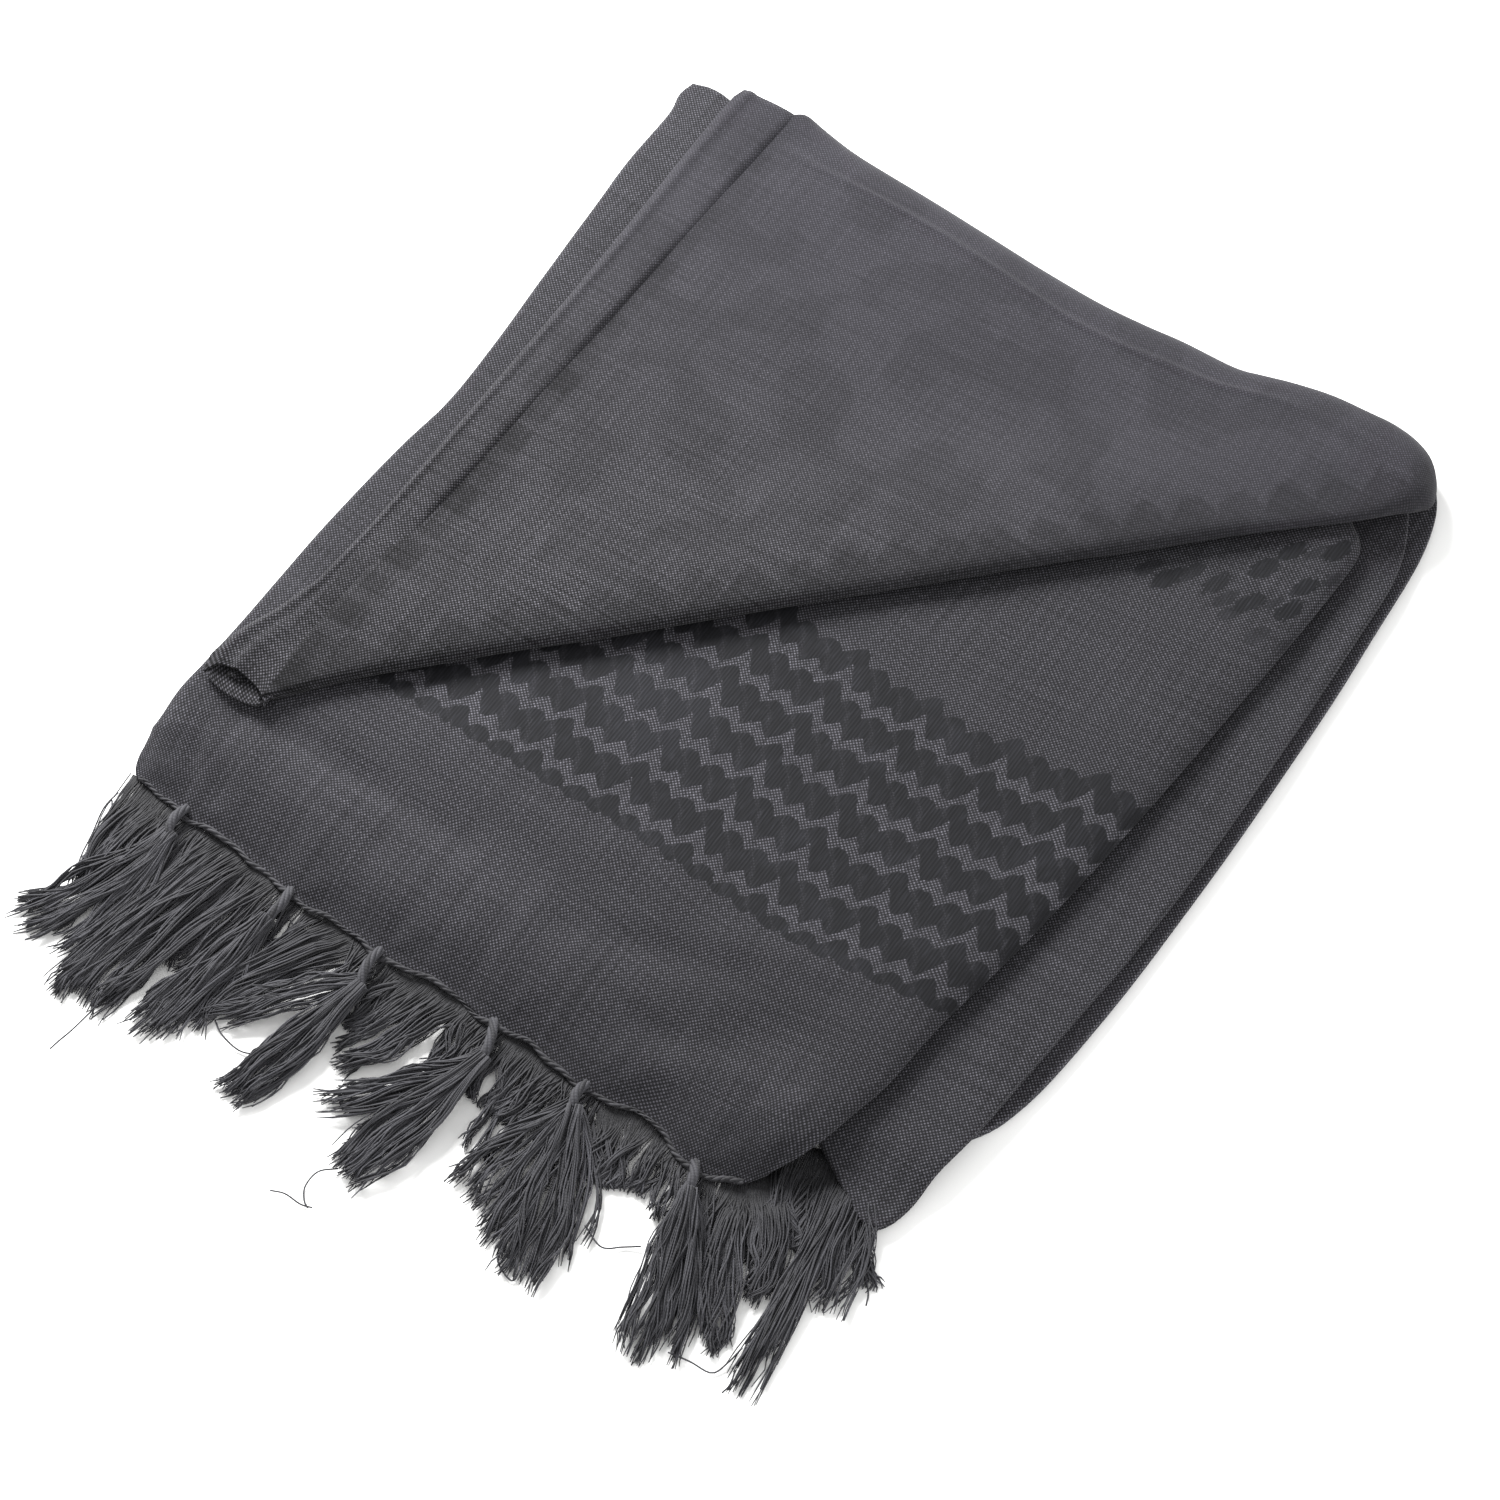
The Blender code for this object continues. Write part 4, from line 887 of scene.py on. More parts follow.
def reverse_marks(made):
    """How light the pattern's marks and the painted shade along the fold, beside the margin and in its
    crevice leave the reverse, and how strong its weave looks.
    """
    u, v = made.u, made.v
    edge = made.noise(u * 0.35, v * 0.35, 2.0, 13.0) - 0.5
    blotch = made.noise(u * 0.041, v * 0.041, 1.0, 12.0).ramp(0.42, 0.6)
    square = ((u * 0.118).sine() * (v * 0.126).sine()).ramp(-0.35, 0.35)
    mark = (blotch * 0.55 + square * 0.5 + edge * 0.35).ramp(0.35, 0.75)
    # Near the diagonal fold, dark is partly the pattern's scallops showing through the reverse and partly
    # painted shade along the fold; under is painted shade on the roll's underside and inside the margin's
    # open end
    fold = (u - FLAP_PLACE[0] - (v - FLAP_PLACE[1]) + 12.0) * 0.7071
    scallop = ((u + v) * (math.pi / 21.0)).sine().absolute() * 7.0 + edge * 9.0 + 7.0
    dark = 1.0 - (fold - scallop).ramp(-1.5, 2.5)
    under = 1.0 - fold.ramp(-4.0, 7.0)
    left = (v + 95.0).ramp(-1.0, 1.0)
    # Painted shade in square patches on the flap beside the turned margin, fainter toward the far end
    beside = (1.0 - (v + 75.0 + edge * 5.0).ramp(-0.8, 1.0)) * left
    squares = (u * (math.pi / 13.3)).sine()
    faint = (edge * 0.8 - squares).ramp(0.45, 0.8) * 0.5
    shade_beside_margin = beside * (squares + edge * 0.8).ramp(0.25, 0.5).most(faint)
    shade_beside_margin = shade_beside_margin * (0.38 - (u - 310.0).ramp(0.0, 70.0) * 0.26)
    inner = (made.noise(u * 0.055, v * 0.09, 1.0, 17.0) - 0.47).ramp(0.0, 0.06)
    inner = inner * (1.0 - (v + 86.0 + edge * 10.0).ramp(0.0, 9.0)) * (v + 150.0).ramp(0.0, 5.0)
    # Painted shade in the crevice where the flap meets the margin
    hollow_shade = left * (1.0 - (v + 83.0 + edge * 5.0).ramp(0.0, 13.0))
    light = (1.0 - mark * 0.15) * (1.0 - dark * 0.27) * (1.0 - inner * 0.24)
    light = light * (1.0 - under * 0.22) * (1.0 - shade_beside_margin) * (1.0 - hollow_shade * 0.2)
    return light, 1.25 - (u - 240.0).ramp(0.0, 180.0) * 0.75


def cloth_finish(name, tone, side):
    """Fine cotton plain weave: crossings, uneven yarns, and what its side shows of the pattern, with painted
    light and shade on the face and painted shade on the reverse.
    """
    made = Finish(name)
    u, v, size = made.u, made.v, sizes()
    pace = math.pi / (size.yarn_pitch / MM)
    sway = made.noise(u * 0.045, v * 0.045, 1.0, 1.0) * 1.6
    crossing = ((u + sway) * pace).sine() * ((v + sway * 0.8) * pace).sine()
    warp_yarn = made.noise(u * 1.15, v * 0.018, 1.0, 5.0) - 0.5
    weft_yarn = made.noise(u * 0.02, v * 1.15, 1.0, 6.0) - 0.5
    slub = made.noise(u * 0.9, v * 0.09, 2.0, 7.0) - 0.5
    broad = made.noise(u * 0.028, v * 0.028, 3.0, 8.0) - 0.5
    fleck = made.noise(u * 0.7, v * 0.7, 2.0, 2.0) - 0.5
    grain = made.noise(u * 1.15, v * 0.95, 1.0, 15.0).ramp(0.25, 0.75)
    specks = crossing.ramp(-0.15, 0.95) * (0.45 + grain * 0.95) * (1.0 + warp_yarn * 1.1 + weft_yarn * 0.9)
    yarns = warp_yarn * 0.34 + weft_yarn * 0.30 + broad * 0.34 + fleck * 0.15
    level = 0.38 + specks * 2.4 + yarns
    height = crossing * 0.6 + warp_yarn * 0.8 + weft_yarn * 0.7
    colour, rough, relief = tone, 0.88, 0.10
    if side == "face":
        share, line = woven_band(made)
        share = share.most(second_field(made))
        floats, float_height = float_look(made, pace, warp_yarn, slub, broad, fleck)
        # Painted light and shade: the face is lighter at its near left and darker toward the right, most of
        # all near the hem, as the light falls there
        near = 1.0 - (v + 110.0).ramp(0.0, 80.0)
        fade = near * 0.09 + 1.05 - (u + 70.0).ramp(0.0, 180.0) * (near * 0.15 + 0.13)
        level = level * (1.0 + line * 0.34)
        level = (level + (floats - level) * share) * fade
        height = height + (float_height - height) * share
        colour = made.mix(share, tone, list(size.float_colour))
        rough = 0.86 - share * 0.10
    if side == "reverse":
        light, strength = reverse_marks(made)
        level = ((level - 0.98) * strength + 0.98) * light + slub * 0.34
        cool = [shade * tint for shade, tint in zip(tone, (1.03, 1.02, 1.08, 1.0))]
        colour = made.mix((u - 290.0).ramp(0.0, 170.0), tone, cool)
        relief = 0.08
    return made.cover({"Base Color": made.tint(colour, level), "Roughness": rough, "Sheen Weight": 0.04,
                       "Sheen Roughness": 0.5, "Specular IOR Level": 0.12}, height, relief, 0.6)


def thread_finish(name, colour, twist):
    """Cotton threads: each a little lighter or darker, with a fine twist, and painted shade at their roots.
    """
    made = Finish(name)
    u, v = made.u, made.v
    single = made.noise(u * 0.37, v * 0.004, 0.0, 4.0) - 0.5
    along = made.noise(u * 0.11, v * 0.35, 2.0, 6.0) - 0.5
    ply = (v * twist + u * 3.0).sine()
    # Painted shade: darker over the first 24 mm along each thread, where the loose fringe lies packed under
    # the hem
    root = (v - 5.0).ramp(0.0, 19.0) * 0.64 + 0.36
    level = (1.0 + single * 2.0 + along * 0.6 + ply * 0.12) * root
    return made.cover({"Base Color": made.tint(colour, level), "Roughness": 0.72, "Sheen Weight": 0.05,
                       "Specular IOR Level": 0.3}, ply, 0.06, 0.35)


def found_finish(name, build):
    """A finish that several pieces share."""
    kept = bpy.data.materials.get(name)
    return kept if kept else build(name)


def face_cloth(name):
    """Patterned side of the cloth."""
    return cloth_finish(name, list(sizes().plain_colour), "face")


def plain_cloth(name):
    """Plain part of the same side."""
    return cloth_finish(name, list(sizes().plain_colour), "plain")


def painted_light_cloth(name):
    """The lowest layer, of which only an edge shows, its plain colour painted lighter as painted light on a
    strip that lies in shade.
    """
    # Painted light: the plain colour made lighter for the shaded edge strip
    tone = [shade * 1.35 for shade in sizes().plain_colour[:3]] + [1.0]
    return cloth_finish(name, tone, "plain")


def reverse_cloth(name):
    """Reverse side of the cloth, with the pattern's faint marks."""
    return cloth_finish(name, list(sizes().reverse_colour), "reverse")


def fringe_thread(name):
    """Threads of the fringe."""
    return thread_finish(name, list(sizes().thread_colour), 7.0)


def hem_thread(name):
    """Twisted edge and knots."""
    return thread_finish(name, list(sizes().hem_colour), 4.0)


def bottom_level(x, y, level):
    """Lowest panel: a fuller rolled edge on the right, a flat underside."""
    puff = 0.35 * smoothstep((x - 90.0) / 40.0) * math.sin(math.pi * min(level / 3.4, 1.0))
    return level + (puff if level > 1.0 else 0.0) + np.zeros_like(x)


def middle_level(x, y, level):
    """Second panel: its near-right corner sinks to the floor and its right strip waves softly."""
    hidden = smoothstep((-118.0 - y) / 10.0) * smoothstep((96.0 - x) / 12.0)
    level = MIDDLE_BOTTOM + (level - MIDDLE_BOTTOM) * (1.0 - 0.45 * hidden)
    sink = 3.3 * smoothstep((-129.0 - y) / 15.0) * smoothstep((x - 92.0) / 14.0)
    right = smoothstep((x - 118.0) / 14.0)
    puff = (0.3 + 0.3 * np.sin(y / 17.0) + 0.16 * np.sin(y / 7.3 + x * 0.11)) * right
    return level - sink + puff * np.clip(level - 6.0, 0.0, 1.0)


def stack_level(x, y, level):
    """Hidden layers: plain levels at the edge, the top panel's form over the middle."""
    rise = float(smoothstep((level - 9.0) / 2.5))
    return level + rise * np.minimum(panel_height(x, y) - TOP_HEIGHT, 0.9)


class ScarfSizes(bpy.types.PropertyGroup):
    """Sizes and colours of the scarf."""

    yarn_pitch: bpy.props.FloatProperty(
        name="Yarn pitch", description="Distance between neighbouring yarns of the weave",
        default=0.00062, unit="LENGTH", precision=5)
    row_pitch: bpy.props.FloatProperty(
        name="Row pitch", description="Distance between rows of the woven band",
        default=0.01385, unit="LENGTH", precision=4)
    repeat: bpy.props.FloatProperty(
        name="Repeat", description="Width of one repeat of the woven band",
        default=0.0266, unit="LENGTH", precision=4)
    band_top: bpy.props.FloatProperty(
        name="First row", description="Place on the cloth of the woven band's first row",
        default=-0.0146, unit="LENGTH", precision=4)
    band_bottom: bpy.props.FloatProperty(
        name="Band bottom", description="Lower edge of the woven band on the cloth",
        default=-0.0925, unit="LENGTH", precision=4)
    cloth_wall: bpy.props.FloatProperty(
        name="Cloth thickness", description="Thickness of one layer of cloth with its nap",
        default=0.0009, unit="LENGTH", precision=4)
    thread_width: bpy.props.FloatProperty(
        name="Thread width", description="Thickness of one thread of the fringe",
        default=0.00050, unit="LENGTH", precision=5)
    hem_width: bpy.props.FloatProperty(
        name="Hem width", description="Thickness of the twisted edge along the hem",
        default=0.0020, unit="LENGTH", precision=4)
    plain_colour: bpy.props.FloatVectorProperty(
        name="Plain weave", description="Colour of the plain weave", subtype="COLOR", size=4,
        default=(0.0258, 0.0252, 0.0290, 1.0))
    float_colour: bpy.props.FloatVectorProperty(
        name="Floats", description="Colour of the woven pattern's floats", subtype="COLOR", size=4,
        default=(0.0082, 0.0083, 0.0102, 1.0))
    reverse_colour: bpy.props.FloatVectorProperty(
        name="Reverse", description="Colour of the cloth's reverse", subtype="COLOR", size=4,
        default=(0.0266, 0.0259, 0.0294, 1.0))
    thread_colour: bpy.props.FloatVectorProperty(
        name="Fringe threads", description="Colour of the fringe", subtype="COLOR", size=4,
        default=(0.0305, 0.0303, 0.0350, 1.0))
    hem_colour: bpy.props.FloatVectorProperty(
        name="Hem", description="Colour of the twisted edge and the knots", subtype="COLOR", size=4,
        default=(0.0300, 0.0296, 0.0335, 1.0))


class SCARF_OT_lower_panels(bpy.types.Operator):
    """Makes the two lower folded panels and the hidden layers over them."""

    bl_idname = "scarf.lower_panels"
    bl_label = "Lower panels"

    def execute(self, context):
        finish = found_finish("plain_woven_cotton", plain_cloth)
        profile = rolled_profile((0.0, BOTTOM_TOP / 2.0, BOTTOM_TOP), 1.4, (2.0, 5.0, 14.0))
        # The lowest panel wears the plain cloth painted lighter, as painted light on its shaded edge
        bottom = folded_slab("bottom_panel_cloth", BOTTOM_EDGE, (60.0, 30.0, 14.0, 5.0), profile,
                             bottom_level, 420, 50, found_finish("edge_woven_cotton", painted_light_cloth))
        profile = rolled_profile((MIDDLE_BOTTOM, 5.5, MIDDLE_TOP), 1.4,
                                 (2.4, 4.0, 6.0, 9.0, 12.0, 16.0, 20.0, 25.0))
        middle = folded_slab("middle_panel_cloth", MIDDLE_EDGE, (25.0, 12.0, 5.0), profile, middle_level,
                             420, 150, finish)
        profile = rolled_profile((STACK_BOTTOM, 9.05), 0.75, (2.0, 7.0, 13.5))
        profile = profile + [(14.6, 10.2), (15.4, 11.2), (16.5, 11.7), (24.0, 12.0)]
        stack = folded_slab("folded_stack_cloth", STACK_EDGE, (12.0, 5.0), profile, stack_level, 360, 150,
                            finish)
        for piece, node, rest in ((bottom, "bottom_panel", []), (middle, "middle_panel", [bottom]),
                                  (stack, "folded_stack", [middle])):
            dress(piece, "cloth", node)
        return {"FINISHED"}


class SCARF_OT_top_panel(bpy.types.Operator):
    """Makes the top panel with its woven band, rolled sides and hem drape."""

    bl_idname = "scarf.top_panel"
    bl_label = "Top panel"

    def execute(self, context):
        finish = found_finish("patterned_woven_cotton", face_cloth)
        piece = collared_sheet(
            "top_panel_cloth", (PANEL_NEAR, PANEL_RIGHT, PANEL_FAR, PANEL_LEFT),
            (SIDE_FOLD, HEM_DRAPE, RIGHT_ROLL), panel_surface, TOP_HEIGHT, full_size, (0, 0, 1),
            (150, 150), panel_plan, finish)
        dress(piece, "cloth", "top_panel")
        return {"FINISHED"}


class SCARF_OT_turned_corner(bpy.types.Operator):
    """Makes the turned-back corner, whose reverse shows."""

    bl_idname = "scarf.turned_corner"
    bl_label = "Turned-back corner"

    def execute(self, context):
        finish = found_finish("cotton_reverse", reverse_cloth)
        piece = collared_sheet(
            "turned_corner_cloth", (FLAP_DIAGONAL, FLAP_FAR, FLAP_SHORT, FLAP_LEFT),
            (PLAIN_EDGE, FAR_DRAPE, DIAGONAL_ROLL), flap_surface, 0.0, roll_size, FLAP_TIP,
            (130, 110), flap_plan, finish)
        dress(piece, "cloth", "turned_back_flap")
        return {"FINISHED"}


def signed_power(value, power):
    """A power that keeps the value's sign."""
    return np.sign(value) * np.abs(value) ** power


def margin_ring(y, turn):
    """One ring of the turned margin at y, and the cloth's own places on it."""
    table = np.array(MARGIN_SECTIONS, dtype=float)
    x0, x1, tall = (np.interp(y, table[:, 0], table[:, c]) for c in (1, 2, 3))
    from_mouth = y - table[0, 0]
    open_end = float(smoothstep((-72.0 - y) / 42.0))
    across = signed_power(np.cos(turn), 0.62 + 0.38 * open_end)
    up = signed_power(np.sin(turn), 0.8 + 0.5 * open_end)
    x = (x0 + x1) / 2.0 + (x1 - x0) / 2.0 * across
    place = (across + 1.0) / 2.0
    over = np.maximum(up, 0.0)
    ridge = 0.5 * np.exp(-((place - 0.2) / 0.09) ** 2) - 0.35 * np.exp(-((place - 0.42) / 0.1) ** 2)
    fan = np.exp(-((place - 0.14) / 0.1) ** 2) + np.exp(-((place - 0.5) / 0.08) ** 2)
    fan = 1.5 * (fan + 1.25 * np.exp(-((place - 0.9) / 0.07) ** 2) - 0.55) * open_end
    base = panel_height(np.clip(x, -124.0, 120.0), np.full_like(x, y)) + SEAM_GAP
    uneven = 0.12 * math.sin(y / 6.0) + 0.2 * math.sin(y / 17.0 + 1.0) * (1.0 - place)
    relief = over * (ridge * (1.0 - open_end) + fan + uneven)
    z = base + tall * (0.84 + 0.16 * open_end) * (0.5 + 0.5 * up) + relief
    x = x + 4.6 * smoothstep((place - 0.45) / 0.55)
    meet = smoothstep((place - 0.85) / 0.13)
    deep = np.where(up > 0.0, 0.9 * smoothstep((place - 0.92) / 0.08) - 0.15, 1.0)
    joined = flap_surface(x, np.full_like(x, y)) - deep
    z = z + (joined - z) * meet * (1.0 - 0.6 * open_end)
    near = math.exp(-(from_mouth / 8.0) ** 2)
    ends = np.abs(2.0 * place - 1.0) ** 3
    z = z + 1.1 * over * math.exp(-(from_mouth / 5.0) ** 2) * (1.0 - ends)
    lip = near * (-6.3 * (up < 0) * np.abs(up) ** 0.4 - 5.0 * ends * (up >= 0) - 0.8 * place)
    girth = np.cumsum(np.concatenate([[0.0], np.hypot(np.diff(x), np.diff(z))]))
    places = np.column_stack([np.full(len(turn), y + MARGIN_PLACE[0]), girth + MARGIN_PLACE[1]])
    return np.column_stack([x, y + lip, z]), places


def mouth_row(number, width):
    """One row of the cloth inside the margin's open end, and the cloth's own places on it."""
    p = np.linspace(0.0, 1.0, width)
    x = -119.5 + 13.0 * p
    y = -115.2 + 1.0 * number + 0.5 * np.sin(p * 7.0) - 0.4 * p
    base = panel_height(x, y) + SEAM_GAP
    z = base + 1.9 + 0.9 * np.exp(-((p - 0.25) / 0.2) ** 2) - 0.5 * p + 0.35 * np.sin(p * 9.0)
    return np.column_stack([x, y, z]), np.column_stack([y + MOUTH_PLACE[0], x + MOUTH_PLACE[1]])


class SCARF_OT_turned_margin(bpy.types.Operator):
    """Makes the margin that is turned under along the corner's left side, open at its near end."""

    bl_idname = "scarf.turned_margin"
    bl_label = "Turned margin"

    def execute(self, context):
        finish = found_finish("cotton_reverse", reverse_cloth)
        around, stations, rows, width = 56, 170, 12, 25
        start, end = MARGIN_SECTIONS[0][0], MARGIN_SECTIONS[-1][0]
        turn = 2.0 * math.pi * np.arange(around) / around
        rings = [margin_ring(start + (end - start) * share ** 1.35, turn)
                 for share in np.linspace(0.0, 1.0, stations)]
        rings += [mouth_row(number, width) for number in range(rows)]
        faces = []
        for k in range(stations - 1):
            a = np.arange(around) + k * around
            b = a + around
            faces.extend(np.stack([a, b, np.roll(b, -1), np.roll(a, -1)], axis=-1).tolist())
        mouth = stations * around
        faces.append(list(range(mouth - around, mouth)))
        for k in range(rows - 1):
            a = mouth + width * k + np.arange(width - 1)
            faces.extend(np.stack([a, a + 1, a + width + 1, a + width], axis=-1).tolist())
        points, places = (np.vstack(part) for part in zip(*rings))
        piece = piece_from("turned_margin_cloth", points, faces, places, finish)
        bpy.ops.object.mode_set(mode="EDIT")
        bpy.ops.mesh.select_all(action="SELECT")
        bpy.ops.mesh.normals_make_consistent(inside=False)
        bpy.ops.object.mode_set(mode="OBJECT")
        give_wall(piece, sizes().cloth_wall)
        dress(piece, "cloth", "flap_turned_margin")
        return {"FINISHED"}


def hem_line(step):
    """Points along the hem's lower edge at even steps, with the outward direction."""
    side = even_side(PANEL_NEAR, 400)
    length = np.concatenate([[0.0], np.cumsum(np.hypot(*np.diff(side[:, :2], axis=0).T))])
    wanted = np.arange(0.0, length[-1], step)
    x = np.interp(wanted, length, side[:, 0])
    y = np.interp(wanted, length, side[:, 1])
    drape = np.interp(wanted, length, np.clip(side[:, 2], 0.0, 1.0))
    run = np.gradient(np.column_stack([x, y]), axis=0)
    run /= np.linalg.norm(run, axis=1)[:, None]
    out = np.column_stack([run[:, 1], -run[:, 0]])
    return wanted, x, y, drape, out


def twisted(path, strands, radius, offset, lay, start):
    """Strands laid round one line from a starting angle: paths and radii for tubes."""
    length = np.concatenate([[0.0], np.cumsum(np.linalg.norm(np.diff(path, axis=0), axis=1))])
    run = np.gradient(path, axis=0)
    run /= np.linalg.norm(run, axis=1)[:, None]
    side = np.cross(run, [0.0, 0.0, 1.0])
    side /= np.maximum(np.linalg.norm(side, axis=1), 1e-6)[:, None]
    up = np.cross(side, run)
    out = []
    for k in range(strands):
        angle = 2.0 * math.pi * (length / lay + k / strands + 0.25 * np.sin(length / 11.0)) + start
        out.append(path + offset * (np.cos(angle)[:, None] * side + np.sin(angle)[:, None] * up))
    return np.array(out), np.full((strands, len(path)), radius)


class SCARF_OT_hem(bpy.types.Operator):
    """Makes the twisted edge along the hem."""

    bl_idname = "scarf.hem"
    bl_label = "Twisted hem"

    def execute(self, context):
        finish = found_finish("twisted_hem_cotton", hem_thread)
        strands, sides = 3, 7
        wanted, x, y, drape, out = hem_line(0.45)
        radius = sizes().hem_width / MM / 2.0
        wobble = 0.5 * np.sin(wanted / 4.3) + 0.3 * np.sin(wanted / 1.9 + 1.0) - 0.1
        z = 1.7 + 0.5 * np.sin(wanted / 6.1) + 0.3 * np.sin(wanted / 2.3 + 0.5)
        path = np.column_stack([x + out[:, 0] * wobble, y + out[:, 1] * wobble, z])
        keep = (drape > 0.96) & (x > HEM_LEFT)
        path, wanted = path[keep], wanted[keep]
        near = np.min([np.hypot(path[:, 0] - k[0], path[:, 1] - k[1]) for k in HEM_KNOTS], axis=0)
        paths, radii = twisted(path, strands, radius * 0.5, radius * 0.42, 8.0, 0.0)
        uneven = 0.76 + 0.2 * np.sin(wanted / 3.3) + 0.16 * np.sin(wanted / 8.7 + 1.0)
        radii = radii * (uneven + 0.75 * np.exp(-(near / 3.4) ** 2))[None, :]
        points, faces = tubes(paths, radii, sides)
        u = np.repeat(np.arange(strands) * 7.3, len(wanted) * sides)
        v = np.tile(np.repeat(wanted, sides), strands)
        piece = piece_from("twisted_hem", points, faces, np.column_stack([u, v]), finish)
        dress(piece, "thread")
        return {"FINISHED"}


def tuft_paths(row, random):
    """Paths and radii of the threads of one tuft: locks that cross, each a loose twist of threads."""
    group, x0, y0, x1, y1, x2, y2, w0, w1, w2, z0, z1, z2, count = row
    stations = 15
    t_all = np.linspace(0.0, 1.0, stations)
    start, mid, end = np.array([x0, y0]), np.array([x1, y1]), np.array([x2, y2])
    if group > KNOTTED_GROUPS:
        # Loose threads start under the hem, nearer its edge at the left corner
        under = 8.0 if x0 > -110.0 else 2.5
        start = start + under * (start - mid) / np.linalg.norm(start - mid)
    aim = 2.0 * mid - (start + end) / 2.0
    count = int(count * THREAD_DENSITY)
    locks = max(3, round(count / 11.0))
    order = np.linspace(-0.9, 0.9, locks) + random.normal(0.0, 0.05, locks)
    lines, widths = [], []
    for lock in range(locks):
        reach_lock = random.uniform(0.84, 1.03)
        finish = np.clip(order[lock] + random.normal(0.0, 0.38), -1.05, 1.05)
        phase, pace = random.uniform(0.0, 6.3, 2), random.uniform(3.5, 7.5, 2)
        sway = random.normal(0.0, 1.1, 2)
        level = random.uniform(0.0, 1.0)
        thick = random.uniform(0.75, 1.35)
        turns = random.normal(0.0, 0.8)
        share = count // locks + (lock < count % locks)
        for _ in range(share):
            reach = reach_lock * (1.0 - 0.13 * random.random() ** 1.6)
            t = t_all * reach
            line = ((1 - t) ** 2)[:, None] * start + (2 * t * (1 - t))[:, None] * aim
            line = line + (t ** 2)[:, None] * end
            run = (2 * (1 - t))[:, None] * (aim - start) + (2 * t)[:, None] * (end - aim)
            run /= np.linalg.norm(run, axis=1)[:, None]
            side = np.column_stack([-run[:, 1], run[:, 0]])
            early, late = smoothstep(t * 2.0), smoothstep(t * 2.0 - 1.0)
            half = np.where(t < 0.5, w0 + (w1 - w0) * early, w1 + (w2 - w1) * late) / 2.0
            base = np.where(t < 0.5, z0 + (z1 - z0) * early, z1 + (z2 - z1) * late)
            place = order[lock] + (finish - order[lock]) * smoothstep(t * 1.1)
            angle = random.uniform(0.0, 2.0 * math.pi) + 2.0 * math.pi * turns * t
            spread = math.sqrt(random.random()) * thick
            swell = 0.75 + 0.45 * np.sin(t * math.pi) - 0.30 * smoothstep((t - 0.5) / 0.3)
            swell = swell + 1.0 * smoothstep((t - 0.82) / 0.2)
            off = half * place + spread * swell * np.cos(angle)
            off = off + sway[0] * np.sin(pace[0] * t * 2.0 + phase[0]) * t
            off = off + random.normal(0.0, 0.55) * np.sin(t * random.uniform(7.0, 24.0) + phase[1]) * t ** 0.5
            off = off + random.normal(0.0, 1.1) * smoothstep((t - 0.55) / 0.45)
            if random.random() < 0.06:
                off = off + random.normal(0.0, 2.6) * t ** 1.6 * np.sin(t * random.uniform(2.0, 5.0))
            if group > KNOTTED_GROUPS:
                off = off + random.normal(0.0, 1.6) * (1.0 - t) ** 2
            pile = min(0.24 * count / max(w1, 3.0), 3.4) * (1.0 - 0.5 * t)
            z = base + (level - 0.45) * pile + 0.75 * spread * swell * np.sin(angle)
            z = z + sway[1] * 0.5 * np.sin(pace[1] * t * 1.6 + phase[1]) * t
            if group > KNOTTED_GROUPS:
                travel = np.linalg.norm(line - start, axis=1)
                z = 0.5 + (z - 0.5) * smoothstep((travel - 7.0) / 8.0)
            lines.append(np.column_stack([line + side * off[:, None], np.maximum(z, 0.28)]))
            width = np.full(stations, random.uniform(0.8, 1.2))
            width[-1] = 0.55
            widths.append(width)
    return np.array(lines), np.array(widths) * sizes().thread_width / MM / 2.0


def stray_paths(points):
    """One loose thread through given points on the floor."""
    rows = np.array([(x, y, 0.9 + 0.5 * math.sin(2.1 * k)) for k, (x, y) in enumerate(points)])
    path = even_side(rows, 19)
    return path[None], np.full((1, len(path)), 0.25)


def tuft_group(name, rows, seed, extra_paths):
    """One piece of threads: every tuft of a group, its twisted neck and its loose threads."""
    random = np.random.default_rng(seed)
    points, faces, places = [], [], []

    def add(paths, widths, sides, turn, strips, clear):
        spots, walls = tubes(paths, widths, sides, turn)
        start = sum(len(part) for part in points)
        points.append(spots)
        faces.extend([[i + start for i in wall] for wall in walls])
        length = np.cumsum(np.linalg.norm(np.diff(paths, axis=1, prepend=paths[:, :1]), axis=2), axis=1)
        u = np.repeat(strips, paths.shape[1] * sides)
        places.append(np.column_stack([u, np.repeat(length.ravel() + clear, sides)]))

    for row in rows:
        paths, widths = tuft_paths(row, random)
        clear = 0.0 if row[0] > KNOTTED_GROUPS else CLEAR_OF_ROOT_SHADE
        add(paths, widths, 4, math.pi / 4.0, random.uniform(0.0, 400.0, len(paths)), clear)
    for paths, widths in extra_paths:
        add(paths, widths, 8, 0.0, np.arange(len(paths)) * 9.0 + 3.0, CLEAR_OF_ROOT_SHADE)
    finish = found_finish("fringe_cotton_thread", fringe_thread)
    return piece_from(name, np.vstack(points), faces, np.vstack(places), finish)


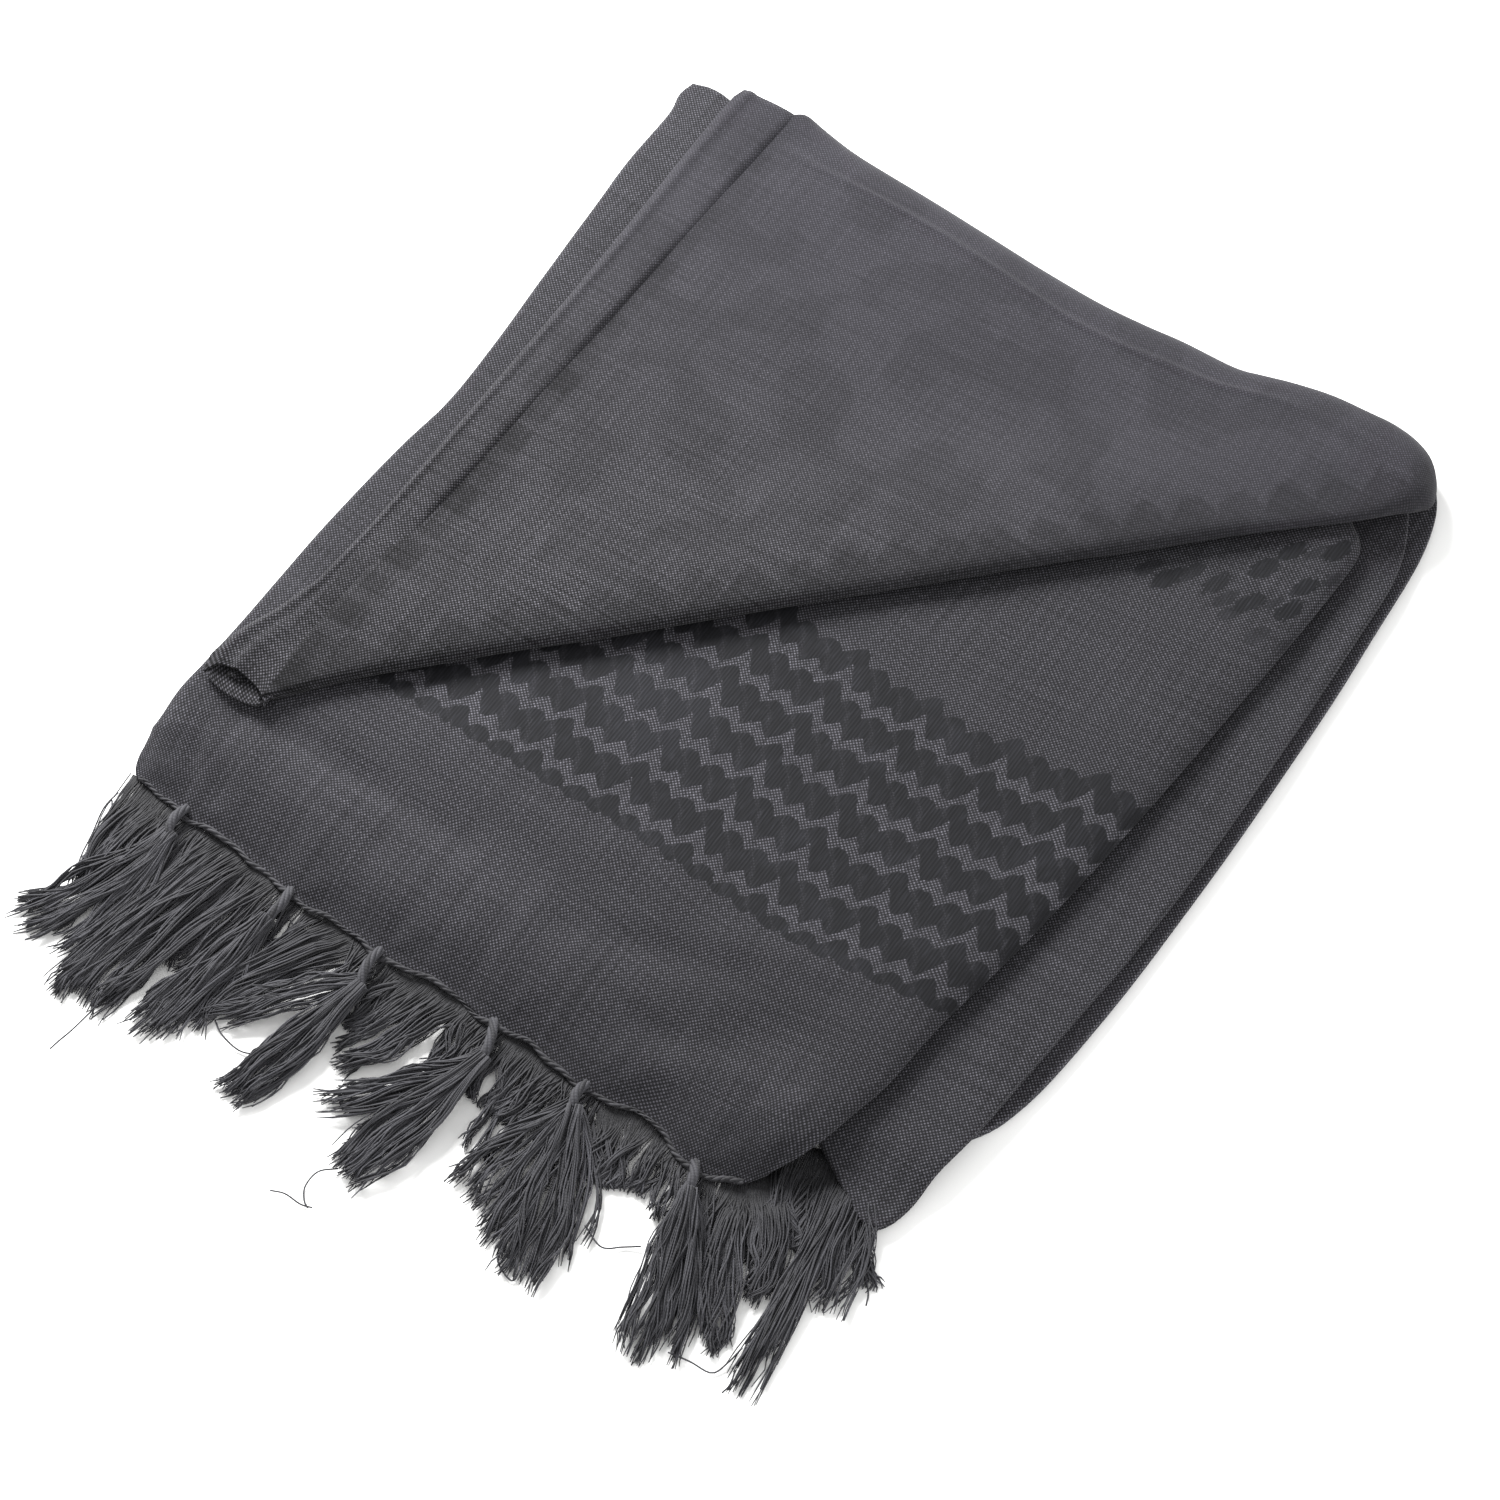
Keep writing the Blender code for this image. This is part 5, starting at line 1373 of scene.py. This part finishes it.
class SCARF_OT_tassels(bpy.types.Operator):
    """Makes the knotted tassels: a twisted neck at the hem and its spread of threads."""

    bl_idname = "scarf.tassels"
    bl_label = "Knotted tassels"

    def execute(self, context):
        for number, (x0, y0, x1, y1) in enumerate(HEM_KNOTS, 1):
            t = np.linspace(0.0, 1.0, 22)
            bow = 0.9 * np.sin(t * math.pi) * (-1) ** number
            path = np.column_stack([
                x0 + (x1 - x0) * t + bow, y0 + 1.5 + (y1 - y0 - 2.5) * t,
                3.1 + 1.9 * np.sin(t * math.pi * 0.75)])
            neck, widths = twisted(path, 5, 0.66, 0.82, 24.0, 0.9 * number)
            widths = widths * (0.82 + 0.25 * np.sin(t * math.pi))[None, :]
            rows = [row for row in TUFTS if row[0] == number]
            extra = [(neck, widths)] + [stray_paths(line[1:]) for line in STRAYS if line[0] == number]
            piece = tuft_group("knotted_tassel_%d_threads" % number, rows, 40 + number, extra)
            dress(piece, "thread", "knotted_tassel_%d" % number)
        return {"FINISHED"}


class SCARF_OT_loose_fringe(bpy.types.Operator):
    """Makes the straight threads of the layers below, between and beside the tassels."""

    bl_idname = "scarf.loose_fringe"
    bl_label = "Loose fringe"

    def execute(self, context):
        for number in range(1, 12):
            group = number + KNOTTED_GROUPS
            rows = [row for row in TUFTS if row[0] == group]
            extra = [stray_paths(line[1:]) for line in STRAYS if line[0] == group]
            piece = tuft_group("loose_fringe_%d_threads" % number, rows, 70 + number, extra)
            dress(piece, "thread", "loose_fringe_%d" % number)
        return {"FINISHED"}


class SCARF_OT_stage(bpy.types.Operator):
    """Sets the pale floor, the soft lights and the camera."""

    bl_idname = "scarf.stage"
    bl_label = "Stage"

    def execute(self, context):
        scene = context.scene
        bpy.ops.object.select_all(action="DESELECT")
        bpy.ops.mesh.primitive_plane_add(size=8.0, location=(0.0, 0.0, -0.0002))
        floor = context.active_object
        floor.name = "studio_floor"
        bpy.ops.object.transform_apply(location=True, rotation=True, scale=True)
        white = bpy.data.materials.new("studio_white")
        white.use_nodes = True
        surface = white.node_tree.nodes["Principled BSDF"]
        surface.inputs["Base Color"].default_value = (0.93, 0.93, 0.92, 1.0)
        surface.inputs["Roughness"].default_value = 0.9
        surface.inputs["Specular IOR Level"].default_value = 0.1
        floor.data.materials.append(white)
        scene.view_settings.view_transform = "Standard"
        world = bpy.data.worlds.new("studio_light")
        world.use_nodes = True
        world.node_tree.nodes["Background"].inputs["Color"].default_value = (1.0, 1.0, 1.0, 1.0)
        world.node_tree.nodes["Background"].inputs["Strength"].default_value = 0.92
        scene.world = world
        for name, place, width, power in LAMPS:
            bpy.ops.object.light_add(type="AREA", location=place)
            lamp = context.active_object
            lamp.name = name
            lamp.data.shape = "DISK"
            lamp.data.size = width
            lamp.data.energy = power
            aim = (Vector((0.0, 0.0, 0.0)) - lamp.location).to_track_quat("-Z", "Y")
            lamp.rotation_euler = aim.to_euler()
        azimuth, elevation = math.radians(CAMERA_AZIMUTH), math.radians(CAMERA_ELEVATION)
        back = Vector((math.sin(azimuth) * math.cos(elevation),
                          -math.cos(azimuth) * math.cos(elevation), math.sin(elevation)))
        data = bpy.data.cameras.new("photo_camera")
        data.lens = 90.0
        data.sensor_width = 36.0
        data.clip_start = 0.05
        data.clip_end = 30.0
        camera = bpy.data.objects.new("photo_camera", data)
        scene.collection.objects.link(camera)
        camera.location = Vector(CAMERA_AIM) + back * CAMERA_DISTANCE
        camera.rotation_mode = "QUATERNION"
        camera.rotation_quaternion = (-back).to_track_quat("-Z", "Y")
        scene.camera = camera
        return {"FINISHED"}


class SCARF_PT_panel(bpy.types.Panel):
    """Lists the scarf's pieces and sizes."""

    bl_idname = "SCARF_PT_panel"
    bl_label = "Folded scarf"
    bl_space_type = "VIEW_3D"
    bl_region_type = "UI"
    bl_category = "Scarf"

    def draw(self, context):
        for step in STEPS:
            self.layout.operator(step.bl_idname)
        for key in ScarfSizes.__annotations__:
            self.layout.prop(context.scene.scarf_sizes, key)


STEPS = (SCARF_OT_lower_panels, SCARF_OT_top_panel, SCARF_OT_turned_corner, SCARF_OT_turned_margin,
         SCARF_OT_hem, SCARF_OT_tassels, SCARF_OT_loose_fringe, SCARF_OT_stage)


def register():
    """Registers the properties, the operators and the panel."""
    for kind in (ScarfSizes,) + STEPS + (SCARF_PT_panel,):
        bpy.utils.register_class(kind)
    bpy.types.Scene.scarf_sizes = bpy.props.PointerProperty(type=ScarfSizes)


def unregister():
    """Removes what register added."""
    del bpy.types.Scene.scarf_sizes
    for kind in reversed((ScarfSizes,) + STEPS + (SCARF_PT_panel,)):
        bpy.utils.unregister_class(kind)


def main():
    """Builds the dressed scarf."""
    register()
    bpy.ops.scarf.lower_panels()
    bpy.ops.scarf.top_panel()
    bpy.ops.scarf.turned_corner()
    bpy.ops.scarf.turned_margin()
    bpy.ops.scarf.hem()
    bpy.ops.scarf.tassels()
    bpy.ops.scarf.loose_fringe()
    bpy.ops.scarf.stage()


if __name__ == "__main__":
    main()
